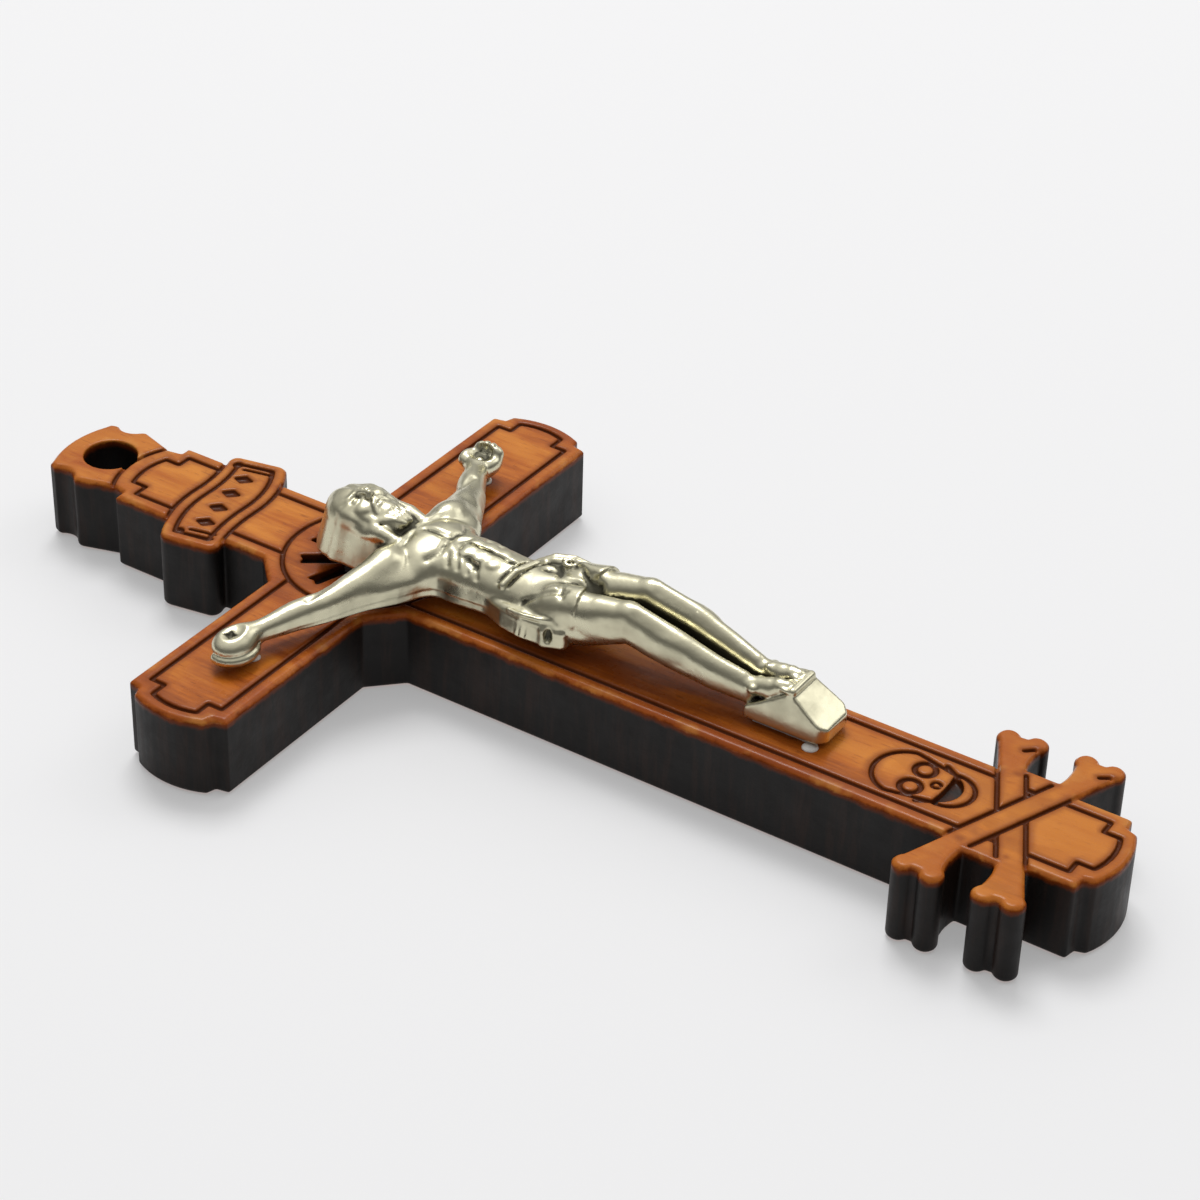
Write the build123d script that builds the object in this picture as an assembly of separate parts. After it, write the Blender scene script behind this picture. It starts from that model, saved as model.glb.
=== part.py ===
from build123d import *
import math
import os

# A small wall crucifix, lying on its back: the board's back face is on Z = 0 and its head end
# points to +Y. All lengths are millimetres. Values whose names end in share or shares are
# fractions of the sizes they follow.

# Board: one flat piece of hardwood, cut to outline
shaft_width = 12.4  # the shaft and both arms
board_thickness = 9.1
top_reach = 41.3  # crossing centre to the top end
foot_reach = 88.5  # crossing centre to the foot end
arm_reach = 34.0  # crossing centre to the end of each arm
corner_cut = 3.2  # diagonal left in the four inner corners
edge_break = 0.4  # bevel along the front and back edges
overrun = 1.0  # how far cutting shapes run past the faces they cut

# Stepped ends of both arms and the foot, measured back from the end's crown
end_corner_drop = 2.4
end_step_half = 4.75
end_step_drop = 2.1
end_arc_half = 4.4
end_arc_drop = 1.05

# Finial above the shaft, with the hanging hole
finial_height = 11.5
hole_diameter = 6.0
hole_drop = 5.5  # top end to the hole's centre
neck_arc_radius = 9.0  # engraved arc just under the hole
# Half outline upwards from the shaft's shoulder, as shares of the half width and the finial's height
finial_root_share = -0.2
finial_neck_shares = ((1.0, 0.0), (0.8, 0.0), (0.76, 0.12), (0.985, 0.515))
finial_scallop_shares = ((0.93, 0.56), (0.8, 0.68), (0.88, 0.82))
finial_ear_share = (0.82, 0.9)
finial_crown_share = (0.7, 0.92)

# Engraved lines
groove_width = 0.5
groove_depth = 0.5
panel_inset = 1.7  # from the long edges
panel_end_inset = 1.5  # from the ends of the arms and the foot
panel_top_reach = 30.7  # crossing centre to the panel's upper end
panel_corner_drop = 2.35
panel_step_half = 2.8
panel_arc_drop = 0.55

# Circle and rays behind the head
halo_radius = 9.2
ray_count = 10
ray_reach = 7.4
ray_width = 1.65
ray_notch = 0.4  # hollow in each ray's outer end
ray_depth = 1.2

# Banner across the upper shaft, as shares of its half length and half height
banner_length = 18.2
banner_height = 7.8
banner_rise = 19.6  # crossing centre to the banner's centre
banner_tilt = 12.9  # degrees
banner_corner_round = 1.2
banner_border_inset = 1.25
banner_top_shares = ((-0.98, 0.86), (-0.45, 1.14), (0.1, 1.0), (0.98, 0.94))
banner_bottom_shares = ((0.97, -0.83), (0.42, -1.16), (-0.1, -1.03), (-1.02, -0.88))
lozenge_height = 2.6
lozenge_width = 1.7
lozenge_spacing = 3.1
lozenge_count = 4
roll_line_length = 3.4  # lines that mark the rolled ends
roll_line_width = 0.4
roll_line_shares = (0.72, 0.82)  # of the half length
roll_line_drop = 0.6
curl_diameter = 1.2
curl_share = 0.79  # of the half length
curl_rise = 1.9

# Skull engraved on the lower shaft
skull_rise = 23.4  # foot end to the middle of the cranium
cranium_diameter = 7.2
chin_diameter = 5.2
chin_drop = 4.4  # middle of the cranium to the middle of the chin's curve
eye_drop = 1.05
eye_spacing = 3.1
eye_diameter = 2.7
eye_line_width = 0.6
nose_drop = 3.1
nose_diameter = 1.3
nose_line_width = 0.35
cheek_line_place = (2.95, -3.15)
cheek_line_length = 1.9
cheek_line_angle = 59.0  # degrees
mouth_width = 5.0
mouth_corner_drop = 3.8
mouth_upper_drop = 4.0
mouth_lower_drop = 5.75
mouth_depth = 0.9

# Crossed bones below the skull: straight through the shaft, bent level towards their ends
bone_rise = 12.2  # foot end to where the bones cross
bone_angles = (-21.4, 27.0)  # degrees, the first bone lies on top
bone_bend = 20.0  # degrees
bone_length = 25.0  # along the bone, between the middles of its two knuckle pairs
bone_straight = 12.8  # the part that isn't bent
bend_shares = (0, 0.5, 1)  # of the bend, the points its sides are drawn through
bone_waist = 2.8
bone_flare = 5.2  # width where the bend ends, at the middles of the knuckles
flare_shares = (0, 0.22, 1)  # of the growth from waist to flare, at the points of the bend
bone_notch_share = 1.09  # of the bend, the notch between the knuckles
knuckle_diameter = 2.5
knuckle_spread = 2.9
nick_place = (-1.4, -1.2)  # short cut beside the knuckles, from the bone's end
nick_length = 1.5
nick_angle = -55.0  # degrees
pocket_fill = 1.2  # wood left between the bones, out from the shaft's edge
pocket_height = 5.0
pocket_drop = 0.2  # below where the bones cross

# Cast figure, proportioned in heads
head_length = 7.5
back_gap = 1.6  # open gap between the flat back and the board
peg_diameter = 1.8
peg_depth = 4.0  # into the board
glue_film = 0.2  # all round each peg
socket_spare = 0.5  # glue below each peg's end
glue_bead_width = 0.9  # squeezed out round each hand's socket
glue_bead_height = 0.5

# Foot block under the feet
block_width = 5.6
block_top_width = 4.3
block_length = 9.2
block_height = 4.4
block_heel = 1.3  # height of its upper end, behind the heels
block_lip = 1.5  # height of its front edge
block_gap = 0.6  # glue under the block
block_ridge_share = 0.535  # of its length, from the upper end to the ridge
block_round = 1.1
block_sway_share = 0.09  # of a head, the feet stand to this side of the shaft's middle
block_drop_share = 6.33  # of a head, crossing centre to the block's upper end
glue_pad_inset = 0.5
glue_drop_diameter = 2.2

# Figure stations in heads. Arms: out, up, rise, half width, half depth
arm_shares = (
    (0.40, -0.96, 0.50, 0.30, 0.32),
    (0.78, -0.87, 0.56, 0.26, 0.25),
    (1.27, -0.75, 0.49, 0.215, 0.205),
    (1.73, -0.58, 0.41, 0.185, 0.18),
    (2.10, -0.40, 0.37, 0.175, 0.165),
    (2.51, -0.19, 0.33, 0.13, 0.115),
)
armpit_shares = (
    (0.38, -1.28, 0.42, 0.24, 0.22),
    (0.80, -1.10, 0.42, 0.20, 0.20),
    (1.25, -0.87, 0.40, 0.15, 0.17),
    (1.62, -0.66, 0.37, 0.08, 0.12),
)
hand_shares = (
    (2.44, -0.22, 0.32, 0.11, 0.095),
    (2.68, -0.12, 0.31, 0.15, 0.10),
    (2.94, -0.03, 0.31, 0.21, 0.105),
    (3.14, 0.04, 0.31, 0.17, 0.085),
    (3.27, 0.08, 0.30, 0.09, 0.05),
)
# First of four fingers, and the step from each finger to the next
finger_shares = (
    (2.98, 0.17, 0.33, 0.055, 0.055),
    (3.18, 0.21, 0.32, 0.06, 0.055),
    (3.33, 0.23, 0.29, 0.03, 0.03),
)
finger_count = 4
finger_step_share = -0.105
arm_skew_share = 0.055  # of its reach, the near arm is this much longer and the far arm shorter
peg_hand_share = 2.76  # of a head, shaft's middle to each hand's peg, before the skew
peg_hand_up_share = -0.09
# Body, head and cloth: side, up, rise, half width, half depth
torso_shares = (
    (0.0, -0.60, 0.50, 0.26, 0.24),
    (0.0, -0.85, 0.44, 0.60, 0.38),
    (0.0, -1.30, 0.42, 0.66, 0.50),
    (0.02, -1.90, 0.42, 0.59, 0.48),
    (0.03, -2.40, 0.42, 0.50, 0.38),
    (0.03, -2.90, 0.42, 0.55, 0.42),
    (0.04, -3.50, 0.45, 0.52, 0.42),
)
hair_shares = (
    (-0.05, 0.64, 0.54, 0.12, 0.20),
    (-0.05, 0.52, 0.54, 0.35, 0.42),
    (-0.06, 0.20, 0.55, 0.49, 0.52),
    (-0.08, -0.15, 0.54, 0.50, 0.50),
    (-0.08, -0.48, 0.50, 0.46, 0.42),
    (-0.07, -0.80, 0.46, 0.36, 0.28),
)
face_shares = (
    (-0.04, 0.44, 0.72, 0.10, 0.12),
    (-0.04, 0.34, 0.70, 0.27, 0.33),
    (-0.05, 0.08, 0.68, 0.36, 0.44),
    (-0.06, -0.18, 0.68, 0.35, 0.43),
    (-0.07, -0.42, 0.70, 0.26, 0.33),
    (-0.07, -0.56, 0.72, 0.12, 0.16),
)
nose_shares = (
    (-0.05, 0.10, 1.06, 0.03, 0.05),
    (-0.055, -0.04, 1.10, 0.04, 0.06),
    (-0.06, -0.15, 1.11, 0.055, 0.07),
    (-0.06, -0.20, 1.06, 0.03, 0.05),
)
beard_shares = (
    (-0.06, -0.34, 0.84, 0.12, 0.16),
    (-0.07, -0.48, 0.82, 0.20, 0.19),
    (-0.07, -0.64, 0.78, 0.17, 0.16),
    (-0.06, -0.76, 0.72, 0.06, 0.07),
)
neck_shares = (
    (-0.04, -0.30, 0.58, 0.22, 0.24),
    (0.0, -0.62, 0.54, 0.22, 0.22),
    (0.0, -0.90, 0.50, 0.26, 0.24),
)
cloth_shares = (
    (0.02, -2.52, 0.42, 0.54, 0.42),
    (0.04, -3.00, 0.44, 0.62, 0.48),
    (0.05, -3.48, 0.48, 0.61, 0.46),
    (0.07, -3.86, 0.56, 0.50, 0.36),
)
knot_shares = (
    (0.45, -2.58, 0.66, 0.05, 0.06),
    (0.54, -2.80, 0.69, 0.12, 0.13),
    (0.61, -3.04, 0.69, 0.145, 0.15),
    (0.66, -3.30, 0.66, 0.125, 0.13),
    (0.69, -3.48, 0.62, 0.05, 0.06),
)
cloth_end_shares = (
    (-0.48, -2.66, 0.36, 0.05, 0.10),
    (-0.55, -2.98, 0.38, 0.12, 0.24),
    (-0.53, -3.28, 0.40, 0.13, 0.25),
    (-0.47, -3.54, 0.40, 0.11, 0.22),
    (-0.42, -3.70, 0.37, 0.04, 0.08),
)
near_leg_shares = (
    (-0.23, -3.20, 0.50, 0.30, 0.34),
    (-0.22, -3.60, 0.58, 0.275, 0.33),
    (-0.17, -4.03, 0.68, 0.235, 0.31),
    (-0.12, -4.45, 0.75, 0.195, 0.28),
    (-0.12, -4.68, 0.72, 0.185, 0.275),
    (-0.12, -5.17, 0.62, 0.20, 0.28),
    (-0.11, -5.80, 0.50, 0.165, 0.22),
    (-0.09, -6.38, 0.45, 0.13, 0.16),
)
near_foot_shares = (
    (-0.08, -6.26, 0.48, 0.11, 0.12),
    (-0.07, -6.50, 0.53, 0.135, 0.15),
    (-0.06, -6.76, 0.62, 0.145, 0.12),
    (-0.05, -7.02, 0.70, 0.13, 0.07),
)
far_leg_shares = (
    (0.28, -3.20, 0.54, 0.30, 0.34),
    (0.32, -3.60, 0.63, 0.275, 0.33),
    (0.37, -4.03, 0.74, 0.235, 0.31),
    (0.39, -4.45, 0.83, 0.195, 0.28),
    (0.40, -4.68, 0.80, 0.185, 0.275),
    (0.39, -5.17, 0.70, 0.20, 0.28),
    (0.32, -5.80, 0.58, 0.165, 0.22),
    (0.24, -6.38, 0.52, 0.13, 0.16),
)
far_foot_shares = (
    (0.25, -6.26, 0.53, 0.11, 0.12),
    (0.23, -6.50, 0.57, 0.135, 0.15),
    (0.23, -6.76, 0.64, 0.145, 0.12),
    (0.24, -7.02, 0.71, 0.13, 0.07),
)

# Values worked out from the sizes above
half_width = shaft_width / 2
crossing_y = (foot_reach - top_reach) / 2
finial_base = top_reach - finial_height
hole_y = top_reach - hole_drop
skull_place = Pos(0, skull_rise - foot_reach)
bone_place = Pos(0, bone_rise - foot_reach)
bone_bend_radius = (bone_length - bone_straight) / 2 / math.radians(bone_bend)
face_place = Pos(0, crossing_y, board_thickness)
peg_radius = peg_diameter / 2
socket_radius = peg_radius + glue_film
socket_depth = peg_depth + socket_spare
near_peg_x = -peg_hand_share * head_length * (1 + arm_skew_share)
far_peg_x = peg_hand_share * head_length * (1 - arm_skew_share)
hand_peg_y = peg_hand_up_share * head_length
block_x = block_sway_share * head_length
block_top_y = -block_drop_share * head_length
block_end_y = block_top_y - block_length
foot_peg_y = (block_top_y + block_end_y) / 2
peg_places = [(near_peg_x, hand_peg_y), (far_peg_x, hand_peg_y), (block_x, foot_peg_y)]
from_below = (Align.CENTER, Align.CENTER, Align.MIN)
from_above = (Align.CENTER, Align.CENTER, Align.MAX)


def limb(half, reach, corner_drop, step_half, step_drop, arc_half, arc_drop):
    # A straight limb from the crossing towards +Y, and the arched tongue that steps out of its end
    shoulder = reach - step_drop
    corner = (half, reach - corner_drop)
    straight = Polygon((-half, 0), (half, 0), corner, (step_half, shoulder), (-step_half, shoulder),
                       (-corner[0], corner[1]), align=None)
    root = shoulder - step_half
    tip = reach - arc_drop
    sides = Polyline((-arc_half, tip), (-step_half, shoulder), (-step_half, root), (step_half, root),
                     (step_half, shoulder), (arc_half, tip))
    crown = ThreePointArc((arc_half, tip), (0, reach), (-arc_half, tip))
    return [straight, make_face([*sides.edges(), crown])]


def board_limb(reach):
    return limb(half_width, reach, end_corner_drop, end_step_half, end_step_drop,
                end_arc_half, end_arc_drop)


def panel_limb(reach):
    return limb(half_width - panel_inset, reach, panel_corner_drop, panel_step_half, panel_corner_drop,
                panel_step_half, panel_arc_drop)


def turned(shapes, angle):
    return [Rot(0, 0, angle) * shape for shape in shapes]


def finial():
    def point(shares):
        return (shares[0] * half_width, finial_base + shares[1] * finial_height)

    root = point((1, finial_root_share))
    neck = [point(shares) for shares in finial_neck_shares]
    scallop = [point(shares) for shares in finial_scallop_shares]
    crown = point(finial_crown_share)
    side = [
        *Polyline((0, root[1]), root, *neck, scallop[0]).edges(),
        ThreePointArc(*scallop),
        *Polyline(scallop[-1], point(finial_ear_share), crown).edges(),
    ]
    mirrored = [edge.mirror(Plane.YZ) for edge in side]
    top = ThreePointArc(crown, (0, top_reach), (-crown[0], crown[1]))
    return make_face([*side, *mirrored, top])


def banner():
    # Each long edge is two smoothly joined arcs that swell one way and then the other
    def wave(shares):
        points = [(x * banner_length / 2, y * banner_height / 2) for x, y in shares]
        swell = ThreePointArc(*points[:3])
        return [swell, TangentArc(points[2], points[3], tangent=swell % 1)]

    upper = wave(banner_top_shares)
    lower = wave(banner_bottom_shares)
    ends = [Line(upper[1] @ 1, lower[0] @ 0), Line(lower[1] @ 1, upper[0] @ 0)]
    ribbon = make_face([*upper, *lower, *ends])
    corners = ribbon.vertices().sort_by(Axis.X)
    ribbon = fillet(corners[:2] + corners[-2:], banner_corner_round)
    return on_banner(ribbon)


def on_banner(shapes):
    return Pos(0, banner_rise) * Rot(0, 0, banner_tilt) * shapes


def banner_marks():
    # A row of lozenges, and the lines and hollows of the rolled ends
    half = banner_length / 2
    tall = lozenge_height / 2
    wide = lozenge_width / 2
    lozenge = Polygon((wide, 0), (0, tall), (-wide, 0), (0, -tall), align=None)
    shapes = []
    for index in range(lozenge_count):
        shapes.append(Pos((index - (lozenge_count - 1) / 2) * lozenge_spacing, 0) * lozenge)
    for side in (-1, 1):
        shapes.append(Pos(side * curl_share * half, curl_rise) * Circle(curl_diameter / 2))
        for share in roll_line_shares:
            line = Rectangle(roll_line_width, roll_line_length)
            shapes.append(Pos(side * share * half, -roll_line_drop) * line)
    return on_banner(Sketch(shapes))


def bone(angle):
    # The bone's middle and flares, and two knuckles at each end
    knuckles = [bone_knuckle(bend_side(angle), place) for place in (-1, 1)]
    knuckles += turned(knuckles, 180)
    return bone_shaft(angle, 0) + [bone_place * shape for shape in turned(knuckles, angle)]


def bone_shaft(angle, grow):
    # The bone's straight middle and a bent flare at each end, all grown sideways
    flare = [bone_end(bend_side(angle), grow)]
    middle = Rectangle(bone_straight, bone_waist + 2 * grow)
    return [bone_place * shape for shape in turned([middle, *flare, *turned(flare, 180)], angle)]


def bend_side(angle):
    # Both ends bend back towards level
    return math.copysign(1, -angle)


def on_bend(shift, side, share):
    # A point of the bend, shifted out from the bone's centre line, at a share of the whole bend
    sweep = share * math.radians(bone_bend)
    radius = bone_bend_radius + shift
    across = bone_bend_radius - radius * math.cos(sweep)
    return (bone_straight / 2 + radius * math.sin(sweep), side * across)


def bone_end(side, grow):
    growth = (bone_flare - bone_waist) / 2
    halves = [bone_waist / 2 + grow + share * growth for share in flare_shares]
    inner, outer = [
        ThreePointArc(*[on_bend(out * half, side, share) for half, share in zip(halves, bend_shares)])
        for out in (-1, 1)]
    between = knuckle_spread / 2
    notch = Polyline(inner @ 1, on_bend(-between, side, bone_notch_share),
                     on_bend(between, side, bone_notch_share), outer @ 1)
    return make_face([inner, *notch.edges(), outer, Line(outer @ 0, inner @ 0)])


def at_bone_end(shape, side):
    return Pos(*on_bend(0, side, 1)) * Rot(0, 0, side * bone_bend) * shape


def bone_knuckle(side, place):
    return at_bone_end(Pos(0, place * knuckle_spread / 2) * Circle(knuckle_diameter / 2), side)


def bone_line(angle):
    # The engraved line along both sides of the bone
    return joined(bone_shaft(angle, groove_width / 2)) - joined(bone_shaft(angle, -groove_width / 2))


def bone_nick(angle):
    line = Pos(*nick_place) * Rot(0, 0, nick_angle) * Rectangle(nick_length, groove_width)
    return bone_place * Rot(0, 0, angle) * at_bone_end(line, bend_side(angle))


def skull(grow):
    # The cranium's and the chin's circles with straight cheeks between them, grown all round
    cranium = cranium_diameter / 2 + grow
    chin = chin_diameter / 2 + grow
    rise = (cranium - chin) / chin_drop
    out = math.sqrt(1 - rise * rise)
    temple = (cranium * out, cranium * rise)
    jaw = (chin * out, chin * rise - chin_drop)
    top = ThreePointArc(temple, (0, cranium), (-temple[0], temple[1]))
    bottom = ThreePointArc((-jaw[0], jaw[1]), (0, -chin - chin_drop), jaw)
    return skull_place * make_face([top, Line(top @ 1, bottom @ 0), bottom, Line(bottom @ 1, top @ 0)])


def skull_marks():
    # A ring round each eye, a ring for the nose, and the lines beside the mouth
    eye = Circle(eye_diameter / 2) - Circle(eye_diameter / 2 - eye_line_width)
    nose = Circle(nose_diameter / 2) - Circle(nose_diameter / 2 - nose_line_width)
    shapes = [Pos(0, -nose_drop) * nose]
    for side in (-1, 1):
        shapes.append(Pos(side * eye_spacing / 2, -eye_drop) * eye)
        line = Rot(0, 0, side * cheek_line_angle) * Rectangle(cheek_line_length, groove_width)
        shapes.append(Pos(side * cheek_line_place[0], cheek_line_place[1]) * line)
    return skull_place * Sketch(shapes)


def skull_mouth():
    corner = (mouth_width / 2, -mouth_corner_drop)
    lower = ThreePointArc((-corner[0], corner[1]), (0, -mouth_lower_drop), corner)
    upper = ThreePointArc(corner, (0, -mouth_upper_drop), (-corner[0], corner[1]))
    return skull_place * make_face([lower, upper])


def ray():
    half = ray_width / 2
    corners = [(0, -half), (ray_reach, -half), (ray_reach - ray_notch, 0), (ray_reach, half), (0, half)]
    return Polygon(*corners, align=None)


def line_round(shape):
    # An engraved line along a shape's outline
    return offset(shape, amount=groove_width / 2) - offset(shape, amount=-groove_width / 2)


def joined(shapes):
    total = shapes[0]
    for shape in shapes[1:]:
        total += shape
    return total


def plate(shape):
    # Board stock cut to one flat shape, its edges broken front and back
    stock = extrude(shape, amount=board_thickness)
    layers = stock.edges().group_by(Axis.Z)
    return chamfer(layers[0] + layers[-1], edge_break)


def sunk(shapes, depth):
    # Flat shapes as solids that reach from above the board's face down to a depth
    return extrude(Pos(0, 0, board_thickness - depth) * shapes, amount=depth + overrun)


def cross_board():
    diagonal = shaft_width + corner_cut
    limbs = turned(board_limb(foot_reach), 180)
    panel = turned(panel_limb(foot_reach - panel_end_inset), 180) + panel_limb(panel_top_reach)
    for angle in (90, -90):
        limbs += turned(board_limb(arm_reach), angle)
        panel += turned(panel_limb(arm_reach - panel_end_inset), angle)
    limbs.append(Polygon((diagonal, 0), (0, diagonal), (-diagonal, 0), (0, -diagonal), align=None))
    limbs.append(Rectangle(shaft_width, finial_base, align=(Align.CENTER, Align.MIN)))
    limbs.append(finial())
    title = banner()
    bones = [bone(angle) for angle in bone_angles]
    pocket = Rectangle(shaft_width + 2 * pocket_fill, pocket_height)
    limbs.append(bone_place * Pos(0, -pocket_drop) * pocket)
    board = joined([plate(shape) for shape in [*limbs, title, *bones[0], *bones[1]]])

    over_bone, under_bone = [joined(shapes) for shapes in bones]
    halo = Circle(halo_radius)
    shaft = Rectangle(shaft_width + overrun, foot_reach + top_reach)
    shaft = Pos(0, -crossing_y) * shaft
    neck_line = line_round(Pos(0, hole_y - hole_diameter / 2 - neck_arc_radius) * Circle(neck_arc_radius))
    border_inner = offset(title, amount=-banner_border_inset - groove_width)
    lines = joined([
        line_round(joined(panel)) - halo - title - over_bone - under_bone,
        line_round(halo),
        neck_line & finial(),
        line_round(title) & shaft,
        offset(title, amount=-banner_border_inset) - border_inner,
        bone_line(bone_angles[0]) & shaft,
        (bone_line(bone_angles[1]) & shaft) - over_bone,
        skull(groove_width / 2) - skull(-groove_width / 2),
        skull_marks(),
        banner_marks(),
        *[bone_nick(angle) for angle in bone_angles],
    ])
    rays = joined([Rot(0, 0, 90 + index * 360 / ray_count) * ray() for index in range(ray_count)])
    board -= sunk(lines, groove_depth)
    board -= sunk(skull_mouth(), mouth_depth)
    board -= sunk(rays, ray_depth)
    board -= Pos(0, hole_y) * Cylinder(hole_diameter / 2, board_thickness, align=from_below)
    socket = Cylinder(socket_radius, socket_depth + overrun, align=from_below)
    for x, y in peg_places:
        board -= Pos(x, y, board_thickness - socket_depth) * socket
    return Pos(0, crossing_y) * board


def across_y(station):
    # An ellipse square to the shaft, from a station of the body: its seam lies at the back
    side, up, rise, half, depth = [share * head_length for share in station]
    return Plane((side, up, rise), x_dir=(0, 0, -1), z_dir=(0, 1, 0)) * Ellipse(depth, half)


def across_x(station, hand):
    # An ellipse square to the arms, from a station of an arm: hand is -1 near, 1 far
    out, up, rise, half, depth = [share * head_length for share in station]
    out *= hand - arm_skew_share
    return Plane((out, up, rise), x_dir=(0, 0, -1), z_dir=(hand, 0, 0)) * Ellipse(depth, half)


def fingers():
    steps = [index * finger_step_share for index in range(finger_count)]
    return [[(out, up + step, *rest) for out, up, *rest in finger_shares] for step in steps]


def foot_block():
    # Wedge under the feet: a ramp up to a ridge, a front slope and a low front lip, narrower at the top
    ridge = block_top_y - block_ridge_share * block_length
    end = block_end_y
    top = block_gap + block_height
    heel = block_gap + block_heel
    lip = block_gap + block_lip
    corners = [(block_top_y, block_gap), (block_top_y, heel), (ridge, top), (end, lip), (end, block_gap)]
    side = Plane((block_x, 0, 0), x_dir=(0, 1, 0), z_dir=(1, 0, 0)) * Polygon(*corners, align=None)
    wedge = extrude(side, amount=block_width / 2, both=True)
    half_base = block_width / 2
    half_top = block_top_width / 2
    front = Polygon((-half_base, block_gap), (half_base, block_gap), (half_base, lip), (half_top, top),
                    (-half_top, top), (-half_base, lip), align=None)
    front = Plane((block_x, 0, 0), x_dir=(1, 0, 0), z_dir=(0, -1, 0)) * front
    wedge &= extrude(front, amount=-2 * end)
    upright = wedge.edges().filter_by(Axis.Z).group_by(Axis.Y)[0]
    return fillet(upright, block_round)


def peg(x, y, top):
    # A cast peg from inside the figure down into its socket
    return Pos(x, y, -peg_depth) * Cylinder(peg_radius, peg_depth + top, align=from_below)


def corpus():
    lofted = [loft([across_y(station) for station in shares]) for shares in (
        torso_shares, neck_shares, hair_shares, face_shares, nose_shares, beard_shares,
        near_leg_shares, far_leg_shares, near_foot_shares, far_foot_shares,
        cloth_shares, knot_shares, cloth_end_shares)]
    for hand in (-1, 1):
        for shares in (arm_shares, armpit_shares, hand_shares, *fingers()):
            lofted.append(loft([across_x(station, hand) for station in shares]))
    figure = joined(lofted)
    figure -= Pos(0, 0, back_gap) * Box(2 * arm_reach, 2 * foot_reach, board_thickness, align=from_above)
    figure += foot_block()
    palm_rise = hand_shares[1][2] * head_length
    for peg_x in (near_peg_x, far_peg_x):
        figure += peg(peg_x, hand_peg_y, palm_rise)
    return figure + peg(block_x, foot_peg_y, block_gap + block_lip)


def hand_glue(peg_x):
    # A sleeve of glue in the socket, and the bead squeezed out on the face
    bead = socket_radius + glue_bead_width
    floor = -socket_depth
    outer = [(0, floor), (socket_radius, floor), (socket_radius, 0), (bead, 0)]
    swell = ThreePointArc((bead, 0), (socket_radius + glue_bead_width / 2, glue_bead_height),
                          (peg_radius, glue_bead_height / 2))
    inner = [(peg_radius, glue_bead_height / 2), (peg_radius, -peg_depth), (0, -peg_depth), (0, floor)]
    half = make_face([*Polyline(*outer).edges(), swell, *Polyline(*inner).edges()])
    bead_ring = revolve(Plane.XZ * half, Axis.Z)
    return Pos(peg_x, hand_peg_y) * bead_ring


def foot_glue():
    # The pad under the foot block, the sleeve in its socket, and the drop that ran out at one corner
    pad_length = block_length - 2 * glue_pad_inset
    pad_width = block_width - 2 * glue_pad_inset
    pad = Pos(block_x, foot_peg_y) * Box(pad_width, pad_length, block_gap, align=from_below)
    sleeve = Cylinder(socket_radius, socket_depth, align=from_below)
    sleeve = Pos(block_x, foot_peg_y, -socket_depth) * sleeve
    drop_x = block_x - block_width / 2
    drop_y = block_end_y + block_round + glue_drop_diameter / 2
    drop = Sphere(glue_drop_diameter / 2, arc_size1=0, align=from_below)
    drop = Pos(drop_x, drop_y) * drop
    return pad + sleeve + drop - foot_block() - peg(block_x, foot_peg_y, block_gap)


os.makedirs("parts", exist_ok=True)
export_step(cross_board(), "parts/cross_board.step")
export_step(face_place * corpus(), "parts/corpus.step")
export_step(face_place * hand_glue(near_peg_x), "parts/glue_near_hand.step")
export_step(face_place * hand_glue(far_peg_x), "parts/glue_far_hand.step")
export_step(face_place * foot_glue(), "parts/glue_foot.step")
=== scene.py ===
import math

import bmesh
import bpy
import numpy as np
import openvdb
from mathutils import Matrix, Vector
from mathutils.kdtree import KDTree


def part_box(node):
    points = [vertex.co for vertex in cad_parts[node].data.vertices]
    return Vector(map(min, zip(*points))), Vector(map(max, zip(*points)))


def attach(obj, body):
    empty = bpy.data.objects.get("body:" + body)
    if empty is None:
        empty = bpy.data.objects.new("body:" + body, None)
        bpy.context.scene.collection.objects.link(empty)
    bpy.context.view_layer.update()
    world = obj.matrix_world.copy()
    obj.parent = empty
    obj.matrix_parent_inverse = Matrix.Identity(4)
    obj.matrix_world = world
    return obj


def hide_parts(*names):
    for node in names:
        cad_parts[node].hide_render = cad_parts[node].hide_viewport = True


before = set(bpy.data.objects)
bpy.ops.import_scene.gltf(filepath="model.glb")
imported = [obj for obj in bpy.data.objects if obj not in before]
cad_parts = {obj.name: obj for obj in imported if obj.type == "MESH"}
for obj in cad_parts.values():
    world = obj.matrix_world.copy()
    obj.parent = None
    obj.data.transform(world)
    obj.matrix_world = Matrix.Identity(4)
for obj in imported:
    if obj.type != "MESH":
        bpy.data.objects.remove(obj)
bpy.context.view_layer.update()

mm = 0.001
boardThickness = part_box("cross_board")[1].z
# Carving is measured in mm from the crossing's middle, upwards from the board's face
crossing = dict(topReach=41.3, footReach=88.5)
crossingY = (crossing["footReach"] - crossing["topReach"]) / 2
faceOrigin = np.array([0.0, crossingY, boardThickness / mm])


# Nodes and materials
def newMaterial(name):
    material = bpy.data.materials.new(name)
    material.use_nodes = True
    tree = material.node_tree
    shader = tree.nodes["Principled BSDF"]
    return material, tree, shader


def addNode(tree, kind, inputs=None, **settings):
    node = tree.nodes.new(kind)
    for key, value in settings.items():
        setattr(node, key, value)
    for key, value in (inputs or {}).items():
        if isinstance(value, bpy.types.NodeSocket):
            tree.links.new(value, node.inputs[key])
        else:
            node.inputs[key].default_value = value
    return node


def addMath(tree, operation, first, second):
    return addNode(tree, "ShaderNodeMath", {0: first, 1: second}, operation=operation).outputs[0]


def addShare(tree, first, second, share):
    # The first value plus a share of the second
    return addMath(tree, "ADD", first, addMath(tree, "MULTIPLY", second, share))


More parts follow.
